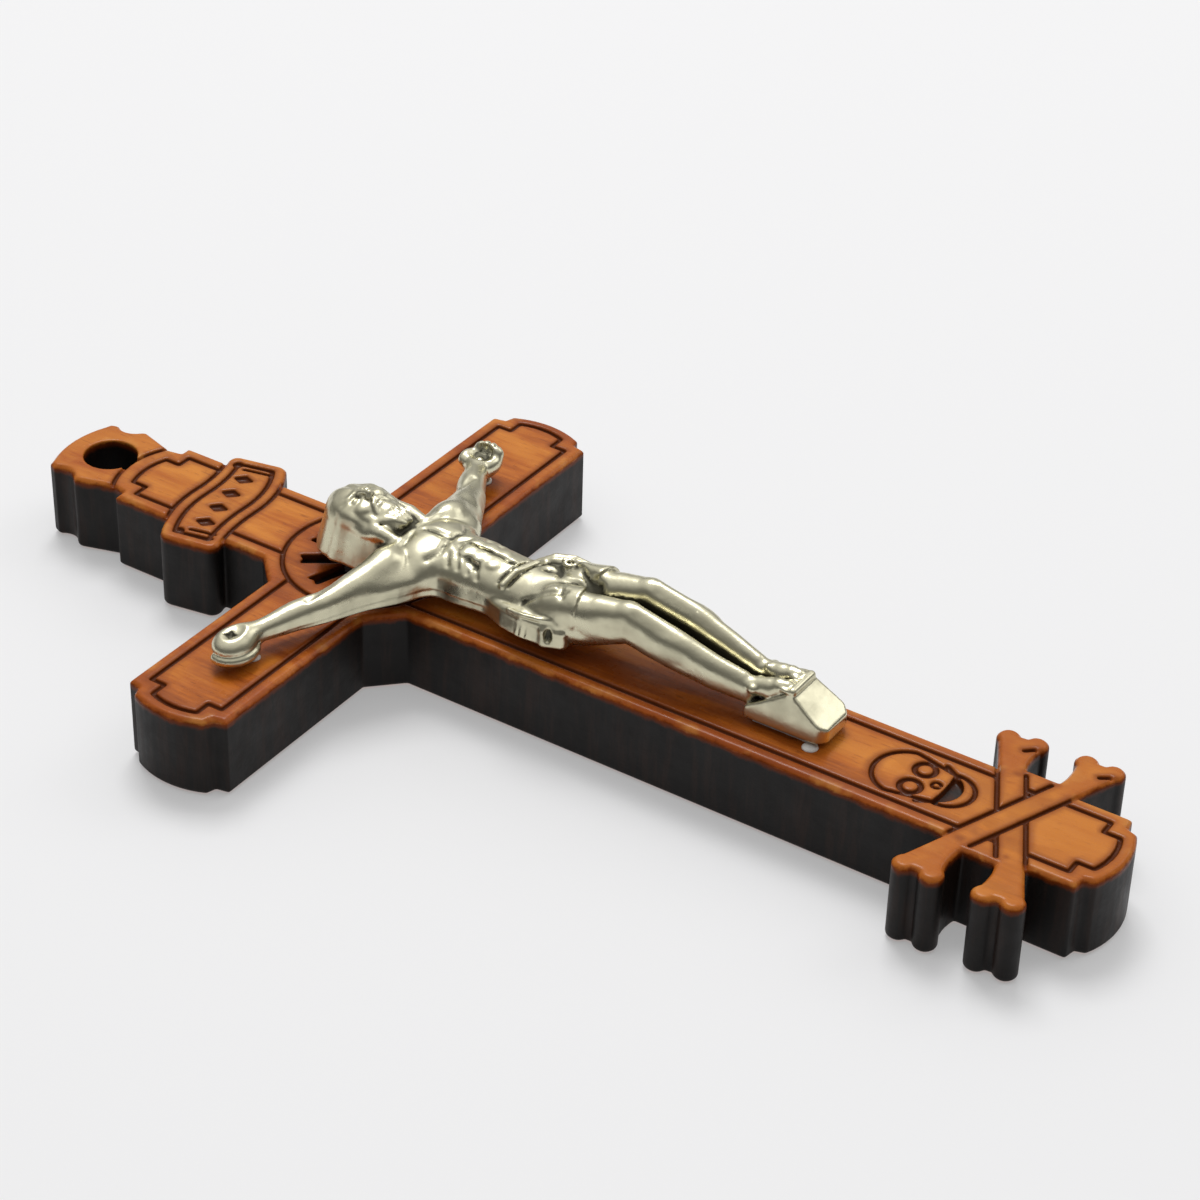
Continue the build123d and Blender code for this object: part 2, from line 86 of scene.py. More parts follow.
def addMix(tree, share, first, second):
    # Each colour is a socket, or plain red, green and blue
    ends = [(*end, 1) if isinstance(end, tuple) else end for end in (first, second)]
    node = addNode(tree, "ShaderNodeMix", {0: share, 6: ends[0], 7: ends[1]}, data_type="RGBA")
    return node.outputs[2]


def addRange(tree, value, low, high, toLow=0.0, toHigh=1.0, smooth=True):
    node = addNode(tree, "ShaderNodeMapRange", {0: value, 1: low, 2: high, 3: toLow, 4: toHigh})
    node.interpolation_type = "SMOOTHSTEP" if smooth else "LINEAR"
    return node.outputs[0]


def addNoise(tree, place, scale, detail=3.0, roughness=0.5, distortion=0.0):
    node = addNode(tree, "ShaderNodeTexNoise", {"Vector": place, "Scale": scale, "Detail": detail,
                                                "Roughness": roughness, "Distortion": distortion})
    return node.outputs["Fac"]


def addMapping(tree, place, scale, turn=(0, 0, 0)):
    return addNode(tree, "ShaderNodeMapping", {"Vector": place, "Scale": scale, "Rotation": turn}).outputs[0]


def addBump(tree, height, strength, distance):
    return addNode(tree, "ShaderNodeBump", {"Strength": strength, "Distance": distance, "Height": height})


def addRamp(tree, value, stops):
    node = addNode(tree, "ShaderNodeValToRGB", {0: value})
    ramp = node.color_ramp
    while len(ramp.elements) < len(stops):
        ramp.elements.new(0.5)
    for element, (place, colour) in zip(ramp.elements, stops):
        element.position = place
        element.color = (*colour, 1)
    return node.outputs[0]


varnishedWood = dict(
    light=(0.66, 0.235, 0.032), middle=(0.46, 0.122, 0.013), dark=(0.23, 0.048, 0.006),
    stain=(0.36, 0.075, 0.009), worn=(0.64, 0.27, 0.055), groove=(0.095, 0.022, 0.005),
    rim=(0.16, 0.030, 0.004), burnt=(0.005, 0.0035, 0.003), scorched=(0.018, 0.008, 0.005),
    # Painted light: the foot end is made paler, from the first to the second Y, in m
    grainLean=12.0, paintedLightFoot=(-0.058, -0.030), waver=0.0011,
    # Where a colour comes or goes, in mm: in from an edge or a line, down from the face, up from the back
    stainInset=(1.2, 4.0), wornInset=(0.3, 1.3), lineInset=(0.5, 0.8), besideLine=(0.3, 1.2),
    rimDepth=(0.16, 0.55), burntDepth=(0.45, 1.15), lineDepth=(0.05, 0.28), backHeight=(0.02, 0.16),
)


def makeWood():
    look = varnishedWood
    material, tree, shader = newMaterial("varnished_wood")
    place = addNode(tree, "ShaderNodeTexCoord").outputs["Object"]
    parts = addNode(tree, "ShaderNodeSeparateXYZ", {0: place}).outputs
    lean = (0, 0, math.radians(look["grainLean"]))

    def grain(stretch, scale, detail, roughness, distortion=0.0):
        # Noise drawn out along the leaning grain
        return addNoise(tree, addMapping(tree, place, stretch, lean), scale, detail, roughness, distortion)

    wide = grain((1, 0.22, 1), 120, 2.0, 0.5, 0.6)
    bands = grain((1, 0.14, 0.6), 430, 4.0, 0.55, 0.9)
    fine = grain((1, 0.09, 1), 2600, 3.0, 0.6)
    tone = addShare(tree, addMath(tree, "MULTIPLY", wide, 0.62), bands, 0.26)
    tone = addRange(tree, addShare(tree, tone, fine, 0.14), 0.36, 0.64)
    faceColour = addRamp(tree, tone, [(0.0, look["dark"]), (0.42, look["middle"]), (1.0, look["light"])])
    pores = grain((1, 0.12, 1), 5200, 1.0, 0.4)
    poreShare = addRange(tree, pores, 0.66, 0.74, 0.0, 0.45)
    broadShare = addRange(tree, addNoise(tree, place, 60, 2.0, 0.5, 0.5), 0.45, 0.68, 0.0, 0.4)
    # Painted light: the face is made paler towards the foot end of the board
    paintedLightShare = addRange(tree, parts["Y"], *look["paintedLightFoot"], 0.45, 0.0)
    # Stain gathers along the outline and beside the engraved lines; inset and lineGap are the distances in mm
    inset = addNode(tree, "ShaderNodeAttribute", attribute_name="inset").outputs["Fac"]
    lineGap = addNode(tree, "ShaderNodeAttribute", attribute_name="lineGap").outputs["Fac"]
    patchy = addNoise(tree, place, 150, 2.0, 0.5)
    stainShare = addRange(tree, addShare(tree, inset, patchy, 3.0), *look["stainInset"], 0.6, 0.0)
    besideShare = addRange(tree, addShare(tree, lineGap, patchy, 0.7), *look["besideLine"], 0.7, 0.0)
    # It is rubbed off in places along the edge
    rubbed = addRange(tree, addNoise(tree, place, 230, 3.0, 0.6), 0.5, 0.66, 0.0, 0.5)
    wornShare = addMath(tree, "MULTIPLY", rubbed, addRange(tree, inset, *look["wornInset"], 1.0, 0.0))
    for share, name in ((poreShare, "rim"), (broadShare, "stain"), (paintedLightShare, "light"),
                        (stainShare, "stain"), (besideShare, "dark"), (wornShare, "worn")):
        faceColour = addMix(tree, share, faceColour, look[name])

    # Depth under the face: engraved lines are burnt at once, the outline only below its rounded edge
    waver = addMath(tree, "SUBTRACT", addNoise(tree, place, 480, 5.0, 0.65), 0.5)
    wavered = addShare(tree, parts["Z"], waver, look["waver"])
    wallDepth = addMath(tree, "DIVIDE", addMath(tree, "SUBTRACT", boardThickness, wavered), mm)
    lineDepth = addMath(tree, "DIVIDE", addMath(tree, "SUBTRACT", boardThickness, parts["Z"]), mm)
    isLine = addRange(tree, inset, *look["lineInset"])
    rimShare = addRange(tree, wallDepth, *look["rimDepth"])
    burntShare = addRange(tree, wallDepth, *look["burntDepth"])
    lineShare = addMath(tree, "MULTIPLY", addRange(tree, lineDepth, *look["lineDepth"]), isLine)
    colour = addMix(tree, rimShare, faceColour, look["rim"])
    colour = addMix(tree, lineShare, colour, look["groove"])
    streaks = addNoise(tree, addMapping(tree, place, (1, 1, 0.12)), 700, 4.0, 0.6)
    wallColour = addMix(tree, addRange(tree, streaks, 0.42, 0.72), look["burnt"], look["scorched"])
    colour = addMix(tree, burntShare, colour, wallColour)
    # The back keeps its wood colour up to the burnt edge
    backShare = addRange(tree, addMath(tree, "DIVIDE", parts["Z"], mm), *look["backHeight"], 1.0, 0.0)
    colour = addMix(tree, backShare, colour, faceColour)
    tree.links.new(colour, shader.inputs["Base Color"])

    # Varnish shines on the face, and the burnt wood is duller
    smudge = addNoise(tree, place, 420, 4.0, 0.6)
    varnish = addRange(tree, smudge, 0.3, 0.7, 0.20, 0.34, smooth=False)
    tree.links.new(addShare(tree, varnish, burntShare, 0.22), shader.inputs["Roughness"])
    gloss = addShare(tree, addRange(tree, rimShare, 0, 1, 0.19, 0.08), burntShare, 0.16)
    tree.links.new(gloss, shader.inputs["Specular IOR Level"])

    lumps = addNoise(tree, place, 900, 3.0, 0.55)
    relief = addShare(tree, addMath(tree, "MULTIPLY", lumps, 0.7), fine, 0.3)
    tree.links.new(addBump(tree, relief, 0.35, 0.00010).outputs[0], shader.inputs["Normal"])
    return material


# The hollow colour is the dark of patina and of painted shade in the hollows
castMetal = dict(bright=(0.67, 0.635, 0.46), dull=(0.46, 0.435, 0.31), hollow=(0.030, 0.029, 0.022))


def makeMetal():
    look = castMetal
    material, tree, shader = newMaterial("cast_white_metal")
    place = addNode(tree, "ShaderNodeTexCoord").outputs["Object"]
    cavity = addNode(tree, "ShaderNodeAttribute", attribute_name="cavity").outputs["Fac"]
    cloud = addNoise(tree, place, 260, 4.0, 0.55)
    colour = addMix(tree, addRange(tree, cloud, 0.42, 0.75, 0.0, 0.55), look["bright"], look["dull"])
    # Hollows, recesses and gaps darken towards the hollow colour: patina in the small hollows, painted shade
    # in the broad recesses and along the shaded lines
    broken = addShare(tree, cavity, addMath(tree, "SUBTRACT", cloud, 0.5), 0.5)
    stain = addRange(tree, broken, 0.2, 0.85, 0.0, 0.9)
    colour = addMix(tree, stain, colour, look["hollow"])
    tree.links.new(colour, shader.inputs["Base Color"])
    shader.inputs["Metallic"].default_value = 1.0
    rough = addShare(tree, addRange(tree, cloud, 0.3, 0.7, 0.25, 0.37), stain, 0.25)
    tree.links.new(rough, shader.inputs["Roughness"])
    # Slow waves of the cast surface under its fine grain
    waves = addBump(tree, addNoise(tree, place, 330, 2.0, 0.5), 0.7, 0.00014)
    grain = addBump(tree, addNoise(tree, place, 1500, 3.0, 0.5), 0.25, 0.00008)
    tree.links.new(waves.outputs[0], grain.inputs["Normal"])
    tree.links.new(grain.outputs[0], shader.inputs["Normal"])
    return material


curedGlue = dict(cloudy=(0.83, 0.80, 0.73), pale=(0.95, 0.94, 0.92), clearness=0.12, bending=1.46)


def makeGlue():
    look = curedGlue
    material, tree, shader = newMaterial("cured_glue")
    place = addNode(tree, "ShaderNodeTexCoord").outputs["Object"]
    cloud = addNoise(tree, place, 900, 3.0, 0.5)
    tree.links.new(addMix(tree, cloud, look["cloudy"], look["pale"]), shader.inputs["Base Color"])
    tree.links.new(addRange(tree, cloud, 0.3, 0.7, 0.16, 0.32), shader.inputs["Roughness"])
    shader.inputs["Transmission Weight"].default_value = look["clearness"]
    shader.inputs["IOR"].default_value = look["bending"]
    tree.links.new(addBump(tree, cloud, 0.3, 0.0001).outputs[0], shader.inputs["Normal"])
    return material


woodLook = makeWood()
metalLook = makeMetal()
glueLook = makeGlue()
print("materials made")


def newObject(name, mesh):
    piece = bpy.data.objects.new(name, mesh)
    bpy.context.scene.collection.objects.link(piece)
    return piece


def settle(piece):
    # Bake the modifiers into a plain mesh
    depsgraph = bpy.context.evaluated_depsgraph_get()
    mesh = bpy.data.meshes.new_from_object(piece.evaluated_get(depsgraph))
    piece.modifiers.clear()
    piece.data = mesh
    return piece


def addThinning(piece, keep):
    thin = piece.modifiers.new("thin", "DECIMATE")
    thin.ratio = keep


def meshPoints(piece):
    # The piece's points in mm
    points = np.empty(len(piece.data.vertices) * 3, np.float32)
    piece.data.vertices.foreach_get("co", points)
    return points.reshape(-1, 3) / mm


def addValues(piece, name, values):
    layer = piece.data.attributes.new(name, "FLOAT", "POINT")
    layer.data.foreach_set("value", values)


# The CAD board with its edges worn soft; sizes in mm
softBoard = dict(
    mergeGap=0.002, voxel=0.15, smoothing=4, smoothShare=0.5, keep=0.2,
    sectionShare=0.3, lineDepth=0.25, lineInset=0.7, sampleStep=0.1,
    boneCrossingY=-52.7, boneAngles=(-21.4, 27.0),
    fillReach=6.4, fillAlong=1.6, fillAcross=2.0, fillHeight=3.0,
)


def sectionLines(solid, height):
    # Where a level plane cuts the board: the ends of short straight lines, in mm
    work = bmesh.new()
    work.from_mesh(solid)
    cut = bmesh.ops.bisect_plane(work, geom=[*work.verts, *work.edges, *work.faces],
                                 plane_co=(0, 0, height), plane_no=(0, 0, 1))
    lines = [e for e in cut["geom_cut"] if isinstance(e, bmesh.types.BMEdge)]
    ends = np.array([[v.co[:2] for v in line.verts] for line in lines]) / mm
    work.free()
    return ends


def pointTree(ends, step):
    # The lines as a search tree of close points
    spots = []
    for start, end in ends:
        count = max(math.ceil(np.linalg.norm(end - start) / step), 1)
        spots.extend(start + (end - start) * share for share in np.arange(count) / count)
    tree = KDTree(len(spots))
    for index, spot in enumerate(spots):
        tree.insert((spot[0], spot[1], 0), index)
    tree.balance()
    return tree


def gaps(tree, points):
    return np.array([tree.find((x, y, 0))[2] for x, y in points], np.float32)


def addBoardGaps(board, solid):
    # Distance of each point in from the sawn outline, and from the nearest engraved line, seen from above
    size = softBoard
    points = meshPoints(board)[:, :2]
    outline = pointTree(sectionLines(solid, size["sectionShare"] * boardThickness), size["sampleStep"])
    carved = sectionLines(solid, boardThickness - size["lineDepth"] * mm)
    inside = gaps(outline, carved.mean(1)) > size["lineInset"]
    carving = pointTree(carved[inside], size["sampleStep"])
    addValues(board, "inset", gaps(outline, points))
    addValues(board, "lineGap", gaps(carving, points))


def fillBoneNotches(mesh):
    # The wood runs on unbroken where each bone leaves the shaft
    size = softBoard
    scale = Matrix.Diagonal((size["fillAlong"] * mm, size["fillAcross"] * mm, size["fillHeight"] * mm, 1))
    work = bmesh.new()
    work.from_mesh(mesh)
    for angle in size["boneAngles"]:
        turn = Matrix.Rotation(math.radians(angle), 4, "Z")
        for side in (-1, 1):
            middle = turn @ Vector((side * size["fillReach"], 0, 0)) * mm
            middle += Vector((0, size["boneCrossingY"] * mm, boardThickness - size["fillHeight"] / 2 * mm))
            bmesh.ops.create_cube(work, size=1, matrix=Matrix.Translation(middle) @ turn @ scale)
    work.to_mesh(mesh)
    work.free()


def makeBoard():
    size = softBoard
    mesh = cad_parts["cross_board"].data.copy()
    work = bmesh.new()
    work.from_mesh(mesh)
    bmesh.ops.remove_doubles(work, verts=work.verts, dist=size["mergeGap"] * mm)
    work.to_mesh(mesh)
    work.free()
    mesh.materials.clear()
    mesh.materials.append(woodLook)
    solid = mesh.copy()
    fillBoneNotches(mesh)
    board = newObject("carved_board", mesh)
    remesh = board.modifiers.new("remesh", "REMESH")
    remesh.mode = "VOXEL"
    remesh.voxel_size = size["voxel"] * mm
    smooth = board.modifiers.new("smooth", "SMOOTH")
    smooth.factor = size["smoothShare"]
    smooth.iterations = size["smoothing"]
    addThinning(board, size["keep"])
    settle(board)
    board.data.shade_smooth()
    addBoardGaps(board, solid)
    print("board faces", len(board.data.polygons))
    return board


# The figure is modelled in clay, in mm: a grid of distances that shapes are blended into or carved out of
figure = dict(
    voxel=0.15,
    low=(-26.4, -58.4, -1.2), high=(25.4, 6.2, 10.4), farGap=3.0, keep=0.5,
    draft=0.1, hairDraft=0.26,  # how much the casting's walls lean out towards its back
    backLevel=1.6, backRound=0.4, dressedFrom=-28.0,
    partLevel=2.75, partFall=0.04, partFrom=5.0, flash=0.06, flashHeight=0.15, setBack=0.14, setBackFade=0.09,
    headTilt=4.0, headTurn=-8.0, headNod=6.0,
    pegPlaces=((-21.84, -0.68), (19.56, -0.68)), pegRadius=0.9, pegEnds=(-0.4, 2.2),
    # Hollows are darkened as patina close by and as painted shade farther off; painted shade is also laid
    # along the shaded lines
    hollows=((0.45, 1.0), (1.1, 0.6), (2.2, 0.5)), hollowFull=0.4,  # each a reach and a share
    paintedShadeShare=0.5, paintedShadeFade=0.8,
)


def newClay(low, high, voxel):
    low = np.array(low, float)
    count = np.ceil((np.array(high, float) - low) / voxel).astype(int) + 1
    return dict(low=low, voxel=voxel, field=np.full(count, figure["farGap"], np.float32), shaded=[])


def clayPatch(clay, points, reach):
    points = np.atleast_2d(np.array(points, float))
    first = np.floor((points.min(0) - reach - clay["low"]) / clay["voxel"]).astype(int)
    last = np.ceil((points.max(0) + reach - clay["low"]) / clay["voxel"]).astype(int) + 1
    first = np.clip(first, 0, clay["field"].shape)
    last = np.clip(last, 0, clay["field"].shape)
    axes = [clay["low"][i] + clay["voxel"] * np.arange(first[i], last[i]) for i in range(3)]
    grid = np.stack(np.meshgrid(*axes, indexing="ij"), -1).astype(np.float32)
    return tuple(slice(a, b) for a, b in zip(first, last)), grid


def softMin(first, second, blend):
    share = np.clip(0.5 + 0.5 * (second - first) / blend, 0, 1)
    return second + (first - second) * share - blend * share * (1 - share)


def press(clay, where, shape, blend, cut=False):
    old = clay["field"][where]
    clay["field"][where] = -softMin(-old, shape, blend) if cut else softMin(old, shape, blend)


def dropWalls(grid, level, lean):
    # Walls that go down below a level: the grid as at that level, and how far they lean out
    dropped = grid.copy()
    dropped[..., 2] = np.maximum(grid[..., 2], level)
    return dropped, lean * (dropped[..., 2] - grid[..., 2])


def chainShape(grid, stations, drop, wallLean=figure["draft"]):
    # Rounded cones from station to station, each station x, y, height and radius
    lean = 0
    if drop:
        grid, lean = dropWalls(grid, drop, wallLean)
    best = None
    for start, end in zip(stations[:-1], stations[1:]):
        a, b = np.array(start[:3]), np.array(end[:3])
        along = b - a
        share = np.clip(((grid - a) @ along) / max(along @ along, 1e-9), 0, 1)
        gap = np.linalg.norm(grid - a - share[..., None] * along, axis=-1)
        gap = gap - (start[3] + (end[3] - start[3]) * share)
        best = gap if best is None else np.minimum(best, gap)
    return best - lean


def addChain(clay, stations, blend=0.4, cut=False, drop=None, wallLean=figure["draft"]):
    stations = [tuple(float(v) for v in station) for station in stations]
    widest = max(station[3] for station in stations)
    points = [station[:3] for station in stations]
    if drop:
        points = points + [(p[0], p[1], clay["low"][2]) for p in points]
    where, grid = clayPatch(clay, points, widest + blend + 1.0)
    press(clay, where, chainShape(grid, stations, drop, wallLean), blend, cut)


def topHeight(clay, x, y):
    # How high the clay's surface lies at a place
    i, j = [round((v - low) / clay["voxel"]) for v, low in zip((x, y), clay["low"])]
    column = clay["field"][i, j]
    top = np.nonzero(column < 0)[0][-1]
    share = column[top] / (column[top] - column[top + 1])
    return clay["low"][2] + (top + share) * clay["voxel"]


def carve(clay, path, depth, blend):
    # A groove along the surface: x, y and radius at each place
    addChain(clay, [(x, y, topHeight(clay, x, y) + r - depth, r) for x, y, r in path], blend, cut=True)


def ridge(clay, path, rise, blend):
    # A raised line along the surface: x, y and radius at each place
    addChain(clay, [(x, y, topHeight(clay, x, y) - r + rise, r) for x, y, r in path], blend)


def turnMatrix(turn):
    x, y, z = [math.radians(v) for v in turn]
    return np.array(Matrix.Rotation(z, 3, "Z") @ Matrix.Rotation(y, 3, "Y") @ Matrix.Rotation(x, 3, "X"))


def ballShape(grid, centre, radii, turn=(0, 0, 0)):
    local = (grid - np.array(centre, np.float32)) @ turnMatrix(turn).astype(np.float32)
    radii = np.array(radii, np.float32)
    near = np.linalg.norm(local / radii, axis=-1)
    slope = np.linalg.norm(local / radii ** 2, axis=-1)
    return near * (near - 1) / np.maximum(slope, 1e-4)


def addBall(clay, centre, radii, blend=0.4, cut=False, turn=(0, 0, 0), drop=None, wave=None):
    reach = max(radii) + blend + 0.8
    points = [centre]
    if drop:
        points = [centre, (centre[0], centre[1], clay["low"][2] + reach)]
    where, grid = clayPatch(clay, points, reach)
    lean = 0
    if drop:
        grid, lean = dropWalls(grid, centre[2], drop)
    shape = ballShape(grid, centre, radii, turn) - lean
    if wave is not None:
        shape = shape + wave(grid)
    press(clay, where, shape, blend, cut)


def blurField(field, reach):
    # A box blur along each axis, twice over
    count = 2 * reach + 1
    for axis in (0, 1, 2) * 2:
        edges = [(0, 0)] * 3
        edges[axis] = (reach + 1, reach)
        total = np.cumsum(np.pad(field, edges, mode="edge"), axis=axis, dtype=np.float64)
        upper = np.take(total, range(count, total.shape[axis]), axis=axis)
        lower = np.take(total, range(0, total.shape[axis] - count), axis=axis)
        field = ((upper - lower) / count).astype(np.float32)
    return field


def clayPiece(name, clay, material):
    size = figure
    grid = openvdb.FloatGrid(size["farGap"])
    grid.copyFromArray(clay["field"])
    points, quads = grid.convertToQuads(0.0)
    place = (points * clay["voxel"] + clay["low"] + faceOrigin) * mm
    mesh = bpy.data.meshes.new(name)
    mesh.from_pydata(place.tolist(), [], quads[:, ::-1].tolist())
    mesh.materials.append(material)
    piece = newObject(name, mesh)
    addThinning(piece, size["keep"])
    settle(piece)
    piece.data.shade_smooth()
    # Hollows: where the clay round a point is fuller than a flat face would be, close by and farther off.
    # They are darkened as patina close by and as painted shade farther off
    dents = 0
    for reach, share in size["hollows"]:
        cells = max(round(reach / clay["voxel"]), 1)
        dents = dents + share * np.maximum(clay["field"] - blurField(clay["field"], cells), 0) / reach
    spots = meshPoints(piece) - faceOrigin
    cells = np.rint((spots - clay["low"]) / clay["voxel"]).astype(int)
    cells = np.clip(cells, 0, np.array(clay["field"].shape) - 1)
    patinaAndShade = dents[cells[:, 0], cells[:, 1], cells[:, 2]]
    # Painted shade along the shaded lines
    for stations in clay["shaded"]:
        gap = chainShape(spots, stations, None)
        patinaAndShade = patinaAndShade + size["paintedShadeShare"] * np.clip(0.5 - gap / size["paintedShadeFade"], 0, 1)
    addValues(piece, "cavity", np.clip(patinaAndShade / size["hollowFull"], 0, 1).astype(np.float32))
    return piece


def at(origin, shift, radius):
    # A chain's station, given from an origin
    return (*(origin + shift), radius)


def bothSides(stations):
    yield -1, [(-s[0], *s[1:]) for s in stations]
    yield 1, list(stations)


def sculptBody(clay):
    # Trunk: a rounded front over straight flanks
    for centre, radii, blend in (
        ((0.1, -9.2, 3.6), (4.6, 4.4, 2.75), 0.6),
        ((0.1, -13.0, 3.6), (4.0, 4.4, 3.1), 1.0),
        ((0.15, -15.6, 3.5), (3.75, 4.4, 2.9), 1.2),
        ((0.2, -18.2, 3.4), (3.6, 4.6, 2.7), 1.2),
        ((0.25, -20.6, 3.35), (3.6, 4.4, 2.65), 1.2),
        ((0.3, -23.0, 3.3), (3.9, 4.4, 2.9), 1.2),
    ):
        addBall(clay, centre, radii, blend, drop=figure["draft"])
    for side, chest in bothSides([(2.2, -8.5, 5.0)]):
        addBall(clay, chest[0], (2.6, 2.1, 1.15), 1.2, turn=(0, side * 12, side * -8))
    addChain(clay, [(-0.3, -2.6, 4.4, 1.8), (0.0, -6.6, 4.1, 1.9)], 0.7)
    for _, line in bothSides([(1.4, -5.2, 4.2, 1.3), (5.2, -6.4, 4.3, 1.7)]):
        addChain(clay, line, 0.9)
    for _, line in bothSides([(0.6, -6.0, 5.7, 0.3), (2.6, -6.2, 5.9, 0.32), (5.0, -6.4, 5.7, 0.3)]):
        addChain(clay, line, 0.5)
    # Breastbone, lower edge of the chest, arch of the ribs and the ribs below it
    carve(clay, [(0.1, -7.2, 0.25), (0.1, -10.8, 0.3)], 0.12, 0.6)
    for _, line in bothSides([(0.5, -10.5, 0.28), (2.2, -10.9, 0.3), (3.7, -10.1, 0.22)]):
        carve(clay, line, 0.09, 0.5)
    for start in (-11.6, -12.8, -14.0, -15.2):
        rib = [(1.9, start, 0.16), (2.5, start - 0.35, 0.2), (3.1, start - 0.8, 0.16)]
        for _, line in bothSides(rib):
            carve(clay, line, 0.05, 0.35)
    for _, line in bothSides([(0.3, -11.7, 0.28), (1.6, -13.3, 0.34), (2.3, -15.4, 0.25)]):
        carve(clay, line, 0.08, 0.6)
    # Belly: three pairs of muscles, the line between them and the navel
    for start in (-13.4, -15.0, -16.7):
        for _, spot in bothSides([(0.85, start)]):
            x, y = spot[0]
            addBall(clay, (x, y, topHeight(clay, x, y) - 0.26), (0.95, 0.8, 0.36), 0.4)
    carve(clay, [(0.1, -12.4, 0.14), (0.2, -17.8, 0.16)], 0.14, 0.3)
    addBall(clay, (0.2, -18.2, topHeight(clay, 0.2, -18.2)), (0.3, 0.42, 0.4), 0.25, cut=True)


armStations = dict(
    near=[(-5.4, -6.4, 4.3, 1.75), (-9.6, -5.6, 3.75, 1.5), (-13.6, -4.3, 3.2, 1.35), (-16.2, -2.9, 2.9, 1.3),
          (-19.8, -1.5, 2.6, 1.05), (-21.6, -0.8, 2.5, 1.15)],
    far=[(5.4, -6.4, 4.3, 1.75), (9.2, -5.6, 3.7, 1.6), (12.2, -4.3, 3.1, 1.5), (14.4, -3.0, 2.8, 1.5),
         (16.8, -1.8, 2.5, 1.3), (18.2, -1.1, 2.35, 1.3)],
)


def sculptArm(clay, side, stations):
    addChain(clay, stations, 0.6, drop=2.9)
    shoulder, upper, elbow, fore = [np.array(s[:3]) for s in stations[:4]]
    addBall(clay, shoulder + (side * 0.3, 0.0, 0.1), (2.3, 1.7, 1.6), 1.0)
    addBall(clay, upper + (side * -0.6, 0.1, 0.35), (2.8, 1.15, 1.0), 0.9, turn=(0, side * 9, side * 14))
    addBall(clay, fore + (side * -0.4, -0.1, 0.15), (2.6, 0.95, 0.9), 0.9, turn=(0, side * 7, side * 26))
    crease = [(elbow[0] - side * 1.8, elbow[1] + 0.2, 0.2), (elbow[0] + side * 1.6, elbow[1] + 0.6, 0.2)]
    carve(clay, crease, 0.1, 0.5)
    # Web of the casting under the armpit
    addChain(clay, [(side * 4.0, -9.4, 3.2, 1.5), (side * 6.6, -8.0, 3.2, 1.5), (side * 9.4, -6.4, 3.0, 1.2),
                    (side * 12.4, -4.9, 2.7, 0.9)], 1.0, drop=2.9)


def sculptNearHand(clay):
    # A cupped hand: a shallow dish with the nail's hole in it, and the fingers rolled under its edge
    palm = np.array((-23.0, -0.4, 2.2))
    addBall(clay, palm, (2.5, 2.1, 1.45), 1.0)
    addBall(clay, palm + (-0.25, 0.2, 1.8), (1.8, 1.5, 0.75), 0.2, cut=True)
    turns = [math.radians(v) for v in np.linspace(165, 325, 10)]
    rolled = [at(palm, (2.3 * math.cos(a), 1.9 * math.sin(a), -0.8), 0.62) for a in turns]
    crease = [at(palm, (2.75 * math.cos(a), 2.3 * math.sin(a), -0.1), 0.14) for a in turns]
    addChain(clay, rolled, 0.12)
    addChain(clay, crease, 0.15, cut=True)
    hole = palm + (-0.25, 0.2, 1.0)
    for turn in (0.5, 2.07):
        reach = np.array((math.cos(turn), math.sin(turn), 0)) * 0.8
        addChain(clay, [at(hole, reach, 0.05), (*hole, 0.34), at(hole, -reach, 0.05)], 0.1, cut=True)
        # Painted shade in the nail's hole
        clay["shaded"].append([at(hole, reach * 0.7, 0.0), (*hole, 0.25), at(hole, -reach * 0.7, 0.0)])


def sculptFarHand(clay):
    # An open hand: the palm is a hollow, the fingers curl up behind it, the thumb lies beside it
    palm = np.array((19.2, -0.75, 2.2))
    addBall(clay, palm + (0.3, 0.0, 0.1), (2.15, 2.15, 1.4), 0.8)
    addBall(clay, palm + (1.35, -0.25, 1.15), (0.95, 1.85, 1.15), 0.5)
    addBall(clay, palm + (-0.3, 1.6, 0.6), (1.25, 0.7, 0.85), 0.5)
    addBall(clay, palm + (0.2, -1.6, 0.5), (1.2, 0.65, 0.75), 0.5)
    addBall(clay, palm + (0.0, -0.05, 1.75), (1.2, 1.45, 0.95), 0.3, cut=True)
    for swing in (-0.95, -0.2, 0.55):
        addChain(clay, [at(palm, (0.8, swing, 1.05), 0.08), at(palm, (1.25, swing * 1.1, 1.75), 0.12),
                        at(palm, (1.5, swing * 1.1, 2.25), 0.16), at(palm, (2.3, swing * 1.15, 1.7), 0.16),
                        at(palm, (2.5, swing * 1.15, 0.3), 0.1)], 0.2, cut=True)
    addBall(clay, palm + (-0.25, -0.1, 0.85), (0.36, 0.36, 0.25), 0.1)
    # Painted shade across the hollow of the palm
    clay["shaded"].append([at(palm, (0.3, -0.7, 0.9), 0.1), at(palm, (0.3, 0.7, 0.9), 0.1)])


legStations = dict(
    near=[(-1.7, -26.0, 4.5, 2.05), (-1.35, -30.0, 5.6, 1.7), (-1.05, -33.4, 6.3, 1.4),
          (-1.1, -38.5, 5.3, 1.35), (-1.05, -43.5, 4.2, 1.12), (-0.85, -47.3, 3.6, 0.92),
          (-0.6, -49.6, 4.1, 1.05)],
    far=[(2.1, -26.0, 4.9, 2.05), (2.75, -30.0, 6.1, 1.7), (3.0, -33.4, 6.9, 1.4), (3.0, -38.5, 5.9, 1.35),
         (2.5, -43.5, 4.8, 1.1), (1.85, -47.3, 4.1, 0.92), (1.7, -49.6, 4.5, 1.05)],
)


